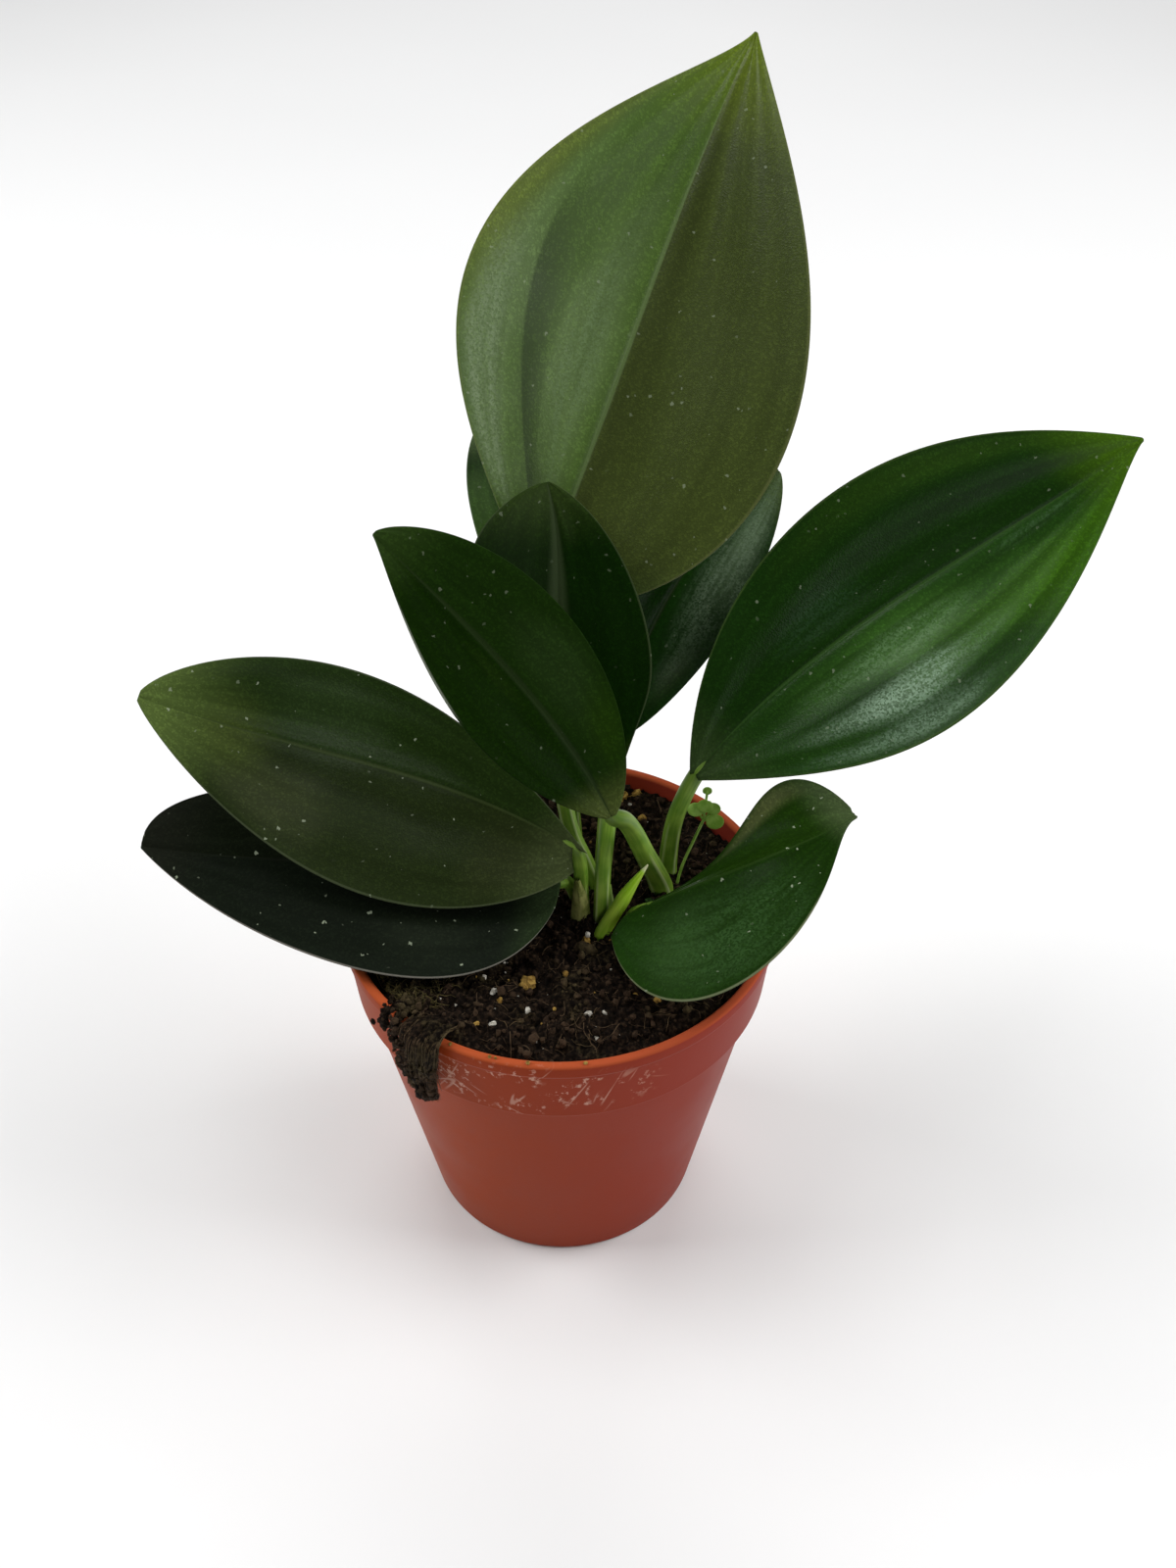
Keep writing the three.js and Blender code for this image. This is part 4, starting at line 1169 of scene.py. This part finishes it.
def stalk_shader(name):
    """Green streaks, darker toward the blade, with pale ridges."""
    shader = Shader(name)
    around, t, edge = shader.place()
    here = shader.object_place()
    streaks = shader.noise(shader.stretched(around, t, (14, 4)), 1)
    tone = shader.plus(shader.times(streaks, 0.6), shader.times(shader.noise(here, 250), 0.4))
    shader.start(shader.ramp(tone, 0.35, 0.65), (86, 124, 32), (130, 160, 60))
    shader.paint(shader.ramp(t, 0.6, 0.95, 0.0, 0.75), (66, 88, 36))
    shader.paint(shader.ramp(edge, 0.3, 0.9, 0.0, 0.65), (186, 198, 146))
    return shader.finish(0.42, shader.bump(streaks, 0.3, 0.0002), Specular_IOR_Level=0.4)


def scratch_share(shader, x, z, slope, number):
    """Broken, fine, almost straight lines at a slope in degrees."""
    c = math.cos(math.radians(slope))
    s = math.sin(math.radians(slope))
    along = shader.plus(shader.times(x, c), shader.times(z, s))
    across = shader.minus(shader.times(z, c), shader.times(x, s))
    line = shader.noise(shader.stretched(along, across, (30, 260), number), 1, 0)
    line = shader.calc("ABSOLUTE", shader.minus(line, 0.5))
    part = shader.noise(shader.stretched(along, across, (110, 160), number + 5), 1, 0)
    return shader.times(shader.ramp(line, 0.008, 0.03, 0.7, 0.0), shader.ramp(part, 0.56, 0.66))


def pot_shader(name):
    """Terracotta-coloured plastic, with limescale and scratches on the front of the rim's band."""
    shader = Shader(name)
    here = shader.object_place()
    x, y, z = shader.split(here)
    tone = shader.noise(here, 40, 3)
    shader.start(tone, (136, 52, 20), (150, 61, 26))
    # Painted reflection: the right side tinted duller and pinker
    shader.paint(shader.ramp(x, -0.03, 0.04, 0.0, 0.75), (124, 42, 38))
    # Painted highlight: the top of the lip lighter
    shader.paint(shader.ramp(z, 0.0793, 0.0798, 0.0, 0.5), (186, 92, 54))
    wide = shader.calc("DIVIDE", shader.plus(x, 0.006), 0.028)
    tall = shader.calc("DIVIDE", shader.minus(z, 0.0715), 0.009)
    off = shader.plus(shader.times(wide, wide), shader.times(tall, tall))
    front = shader.times(shader.ramp(off, 0.3, 1.1, 1.0, 0.0), shader.ramp(y, -0.03, -0.02, 1.0, 0.0))
    blots = shader.ramp(shader.noise(here, 800, 4, 0.6), 0.55, 0.64)
    crowds = shader.ramp(shader.noise(here, 190, 2), 0.5, 0.6)
    lime = shader.times(shader.times(blots, crowds), front)
    for number, slope in enumerate((50, 68, -35)):
        scratch = scratch_share(shader, x, z, slope, number)
        lime = shader.calc("MAXIMUM", lime, shader.times(scratch, front))
    shader.paint(shader.times(lime, 0.6), (214, 176, 156))
    fine = shader.noise(here, 1500, 2)
    rough = shader.ramp(tone, 0.3, 0.7, 0.36, 0.46)
    return shader.finish(rough, shader.bump(fine, 0.15, 0.0001), Specular_IOR_Level=0.04)


def peat_shader(name, dark, light):
    """Peat, in places mossy. Each crumb has its own shade."""
    shader = Shader(name)
    here = shader.object_place()
    shade = shader.place()[0]
    grain = shader.noise(here, 1100, 5, 0.7)
    share = shader.ramp(shader.plus(grain, shader.times(shade, 0.28)), 0.42, 0.85)
    shader.start(share, dark, light)
    moss = shader.ramp(shader.noise(here, 95, 3), 0.5, 0.65, 0.0, 0.45)
    shader.paint(shader.times(moss, share), (78, 74, 46))
    return shader.finish(0.95, shader.bump(grain, 0.6, 0.0006), Specular_IOR_Level=0.2)


def shoot_shader(name):
    """Lime green streaks, greener at the foot and pale at the very tip."""
    shader = Shader(name)
    around, t, _ = shader.place()
    streaks = shader.noise(shader.stretched(around, t, (12, 3)), 1)
    shader.start(shader.ramp(streaks, 0.35, 0.65), (132, 178, 28), (172, 204, 70))
    shader.paint(shader.ramp(t, 0.35, 0.62, 0.7, 0.0), (112, 156, 44))
    shader.paint(shader.ramp(t, 0.93, 0.97, 0.0, 0.85), (206, 204, 172))
    return shader.finish(0.36, shader.bump(streaks, 0.2, 0.0002), Specular_IOR_Level=0.5)


def plain_shader(name, dark, light, scale, rough, bump=0.0005):
    """Grains between two colours."""
    shader = Shader(name)
    grain = shader.noise(shader.object_place(), scale, 5, 0.65)
    shader.start(shader.ramp(grain, 0.35, 0.65), dark, light)
    return shader.finish(rough, shader.bump(grain, 0.5, bump))


# The object
stalk_look = stalk_shader("stalk")
peat_look = peat_shader("peat", (13, 9, 7), (64, 50, 38))
hair_look = peat_shader("hair", (20, 15, 12), (92, 75, 57))
root_look = plain_shader("root", (60, 47, 33), (112, 92, 66), 700, 0.8)
moss_look = plain_shader("moss", (46, 42, 24), (92, 82, 48), 700, 0.9)
pot_look = pot_shader("pot_plastic")
shoot_look = shoot_shader("shoot")
sheath_look = plain_shader("sheath", (88, 96, 40), (140, 142, 84), 350, 0.6, 0.0001)
seedling_look = plain_shader("seedling", (110, 150, 50), (140, 175, 80), 500, 0.5, 0.0001)
perlite_look = plain_shader("perlite", (158, 154, 142), (206, 202, 190), 900, 0.9)
ochre_look = plain_shader("ochre", (112, 84, 36), (170, 138, 70), 900, 0.9)

for number, (name, given) in enumerate(LEAVES.items()):
    leaf = {**PLAIN_LEAF, **given}
    make_blade(name, leaf, leaf_shader(name, {**PLAIN_LOOK, **LOOKS[name]}), seed=number)
    make_stalk(name, leaf, stalk_look)
make_shoot(shoot_look)
make_sheath(sheath_look)
make_seedling(seedling_look)
make_pot(pot_look)
make_soil_bed(peat_look)

stump = [(x, y, float(soil_height(x, y)) + rise, r) for x, y, rise, r in STUMP]
pale = on_peat(PALE_CRUMBS, 0.66) + stump[2:] + scattered(110, 34, 0.12, 0.45, 40, 0.8)
ochre = on_peat(OCHRE_CRUMBS, 0.9) + stump[:2] + scattered(46, 36, 0.2, 0.7, 38, 0.8)
ochre += [on_lip(angle) for angle in LIP_CRUMBS]
clod = clod_lumps(150, 42, TUFT_STRANDS[:4], 0.65, TUFT_REACH)
clod += clod_lumps(130, 44, TUFT_STRANDS[3:], 0.2, 0)
make_lumps("dark_crumbs", on_peat(DARK_CRUMBS, 1), peat_look, 3, 0.35, 31)
make_lumps("small_crumbs", scattered(2000, 32, 0.22, 1.05), peat_look, 1, 0.45, 33)
make_lumps("perlite", pale, perlite_look, 2, 0.6, 35)
make_lumps("ochre_grains", ochre, ochre_look, 2, 0.45, 37)
make_fibres("peat_fibres", fibre_paths(420, 38), 0.09, hair_look)
make_fibres("root_fibres", fibre_paths(110, 40), 0.05, root_look)
make_fibres("moss", fibre_paths(240, 41, (-31, -22), 10), 0.09, moss_look)
make_tuft_core(peat_look)
make_fibres("tuft_fibres", tuft_paths(100, 39), 0.085, hair_look, 4, 18)
make_lumps("tuft_clod", clod, peat_look, 1, 0.45, 43)


# Floor, lights and camera
FLOOR_RADIUS = 1.2
FLOOR_DROP = 0.0001

# Aim, turn and height of the light in degrees, distance, width, height, watts, and whether it is mirrored
LIGHTS = {
    "right": ((0.02, 0.04, 0.1), 90, 35, 1.0, 0.7, 0.7, 9.0, False),
    "left": ((0.0, 0.04, 0.1), -95, 35, 1.0, 0.7, 0.7, 8.5, False),
    "back": ((0.0, 0.9, 0.0), 180, 70, 1.3, 1.4, 0.8, 14.0, False),
    "front": ((0.01, 0.0, 0.085), 8, 12, 0.9, 0.3, 0.3, 1.3, False),
    "key": ((0.0, 0.08, 0.17), 46, 32, 1.1, 0.4, 0.4, 0.9, True),
    "top": ((0.06, 0.03, 0.13), -115, 78, 1.0, 0.34, 0.34, 1.6, True),
}

# The world's colour, and its strength on the object and where it is seen itself
WORLD = (0.95, 0.97, 1.0, 1.0)
WORLD_FILL = 0.04
WORLD_SEEN = 0.95

CAMERA_PLACE = (0.0058, -0.2325, 0.3074)
CAMERA_TILT = 49.8
LENS = 36
SENSOR = 36


def floor_shader():
    shader = Shader("floor")
    tone = shader.noise(shader.object_place(), 3, 2)
    shader.start(tone, (232, 232, 232), (238, 238, 238))
    return shader.finish(0.8)


def make_light(name, aim, turn, rise, distance, width, height, watts, mirrored):
    light = bpy.data.lights.new(name, "AREA")
    light.shape = "RECTANGLE"
    light.size = width
    light.size_y = height
    light.energy = watts
    lamp = bpy.data.objects.new(name, light)
    bpy.context.scene.collection.objects.link(lamp)
    lamp.visible_glossy = mirrored
    turn = math.radians(turn)
    rise = math.radians(rise)
    flat = math.cos(rise)
    way = np.array([math.sin(turn) * flat, -math.cos(turn) * flat, math.sin(rise)])
    lamp.location = np.array(aim) + way * distance
    lamp.rotation_mode = "QUATERNION"
    lamp.rotation_quaternion = Vector(way).to_track_quat("Z", "Y")


bpy.ops.mesh.primitive_circle_add(
    vertices=96, radius=FLOOR_RADIUS, fill_type="NGON", location=(0, 0, -FLOOR_DROP)
)
floor = bpy.context.object
floor.name = "floor"
floor.data.materials.append(floor_shader())

for name, settings in LIGHTS.items():
    make_light(name, *settings)

world = bpy.data.worlds.new("studio")
world.use_nodes = True
backdrop = world.node_tree.nodes["Background"]
backdrop.inputs["Color"].default_value = WORLD
seen = world.node_tree.nodes.new("ShaderNodeMapRange")
seen.inputs["To Min"].default_value = WORLD_FILL
seen.inputs["To Max"].default_value = WORLD_SEEN
ray = world.node_tree.nodes.new("ShaderNodeLightPath")
world.node_tree.links.new(ray.outputs["Is Camera Ray"], seen.inputs["Value"])
world.node_tree.links.new(seen.outputs[0], backdrop.inputs["Strength"])
bpy.context.scene.world = world
bpy.context.scene.view_settings.view_transform = "Standard"

camera = bpy.data.objects.new("camera", bpy.data.cameras.new("camera"))
bpy.context.scene.collection.objects.link(camera)
camera.location = CAMERA_PLACE
camera.rotation_euler = (math.radians(CAMERA_TILT), 0, 0)
camera.data.lens = LENS
camera.data.sensor_width = SENSOR
camera.data.sensor_fit = "AUTO"
camera.data.clip_start = 0.01
bpy.context.scene.camera = camera
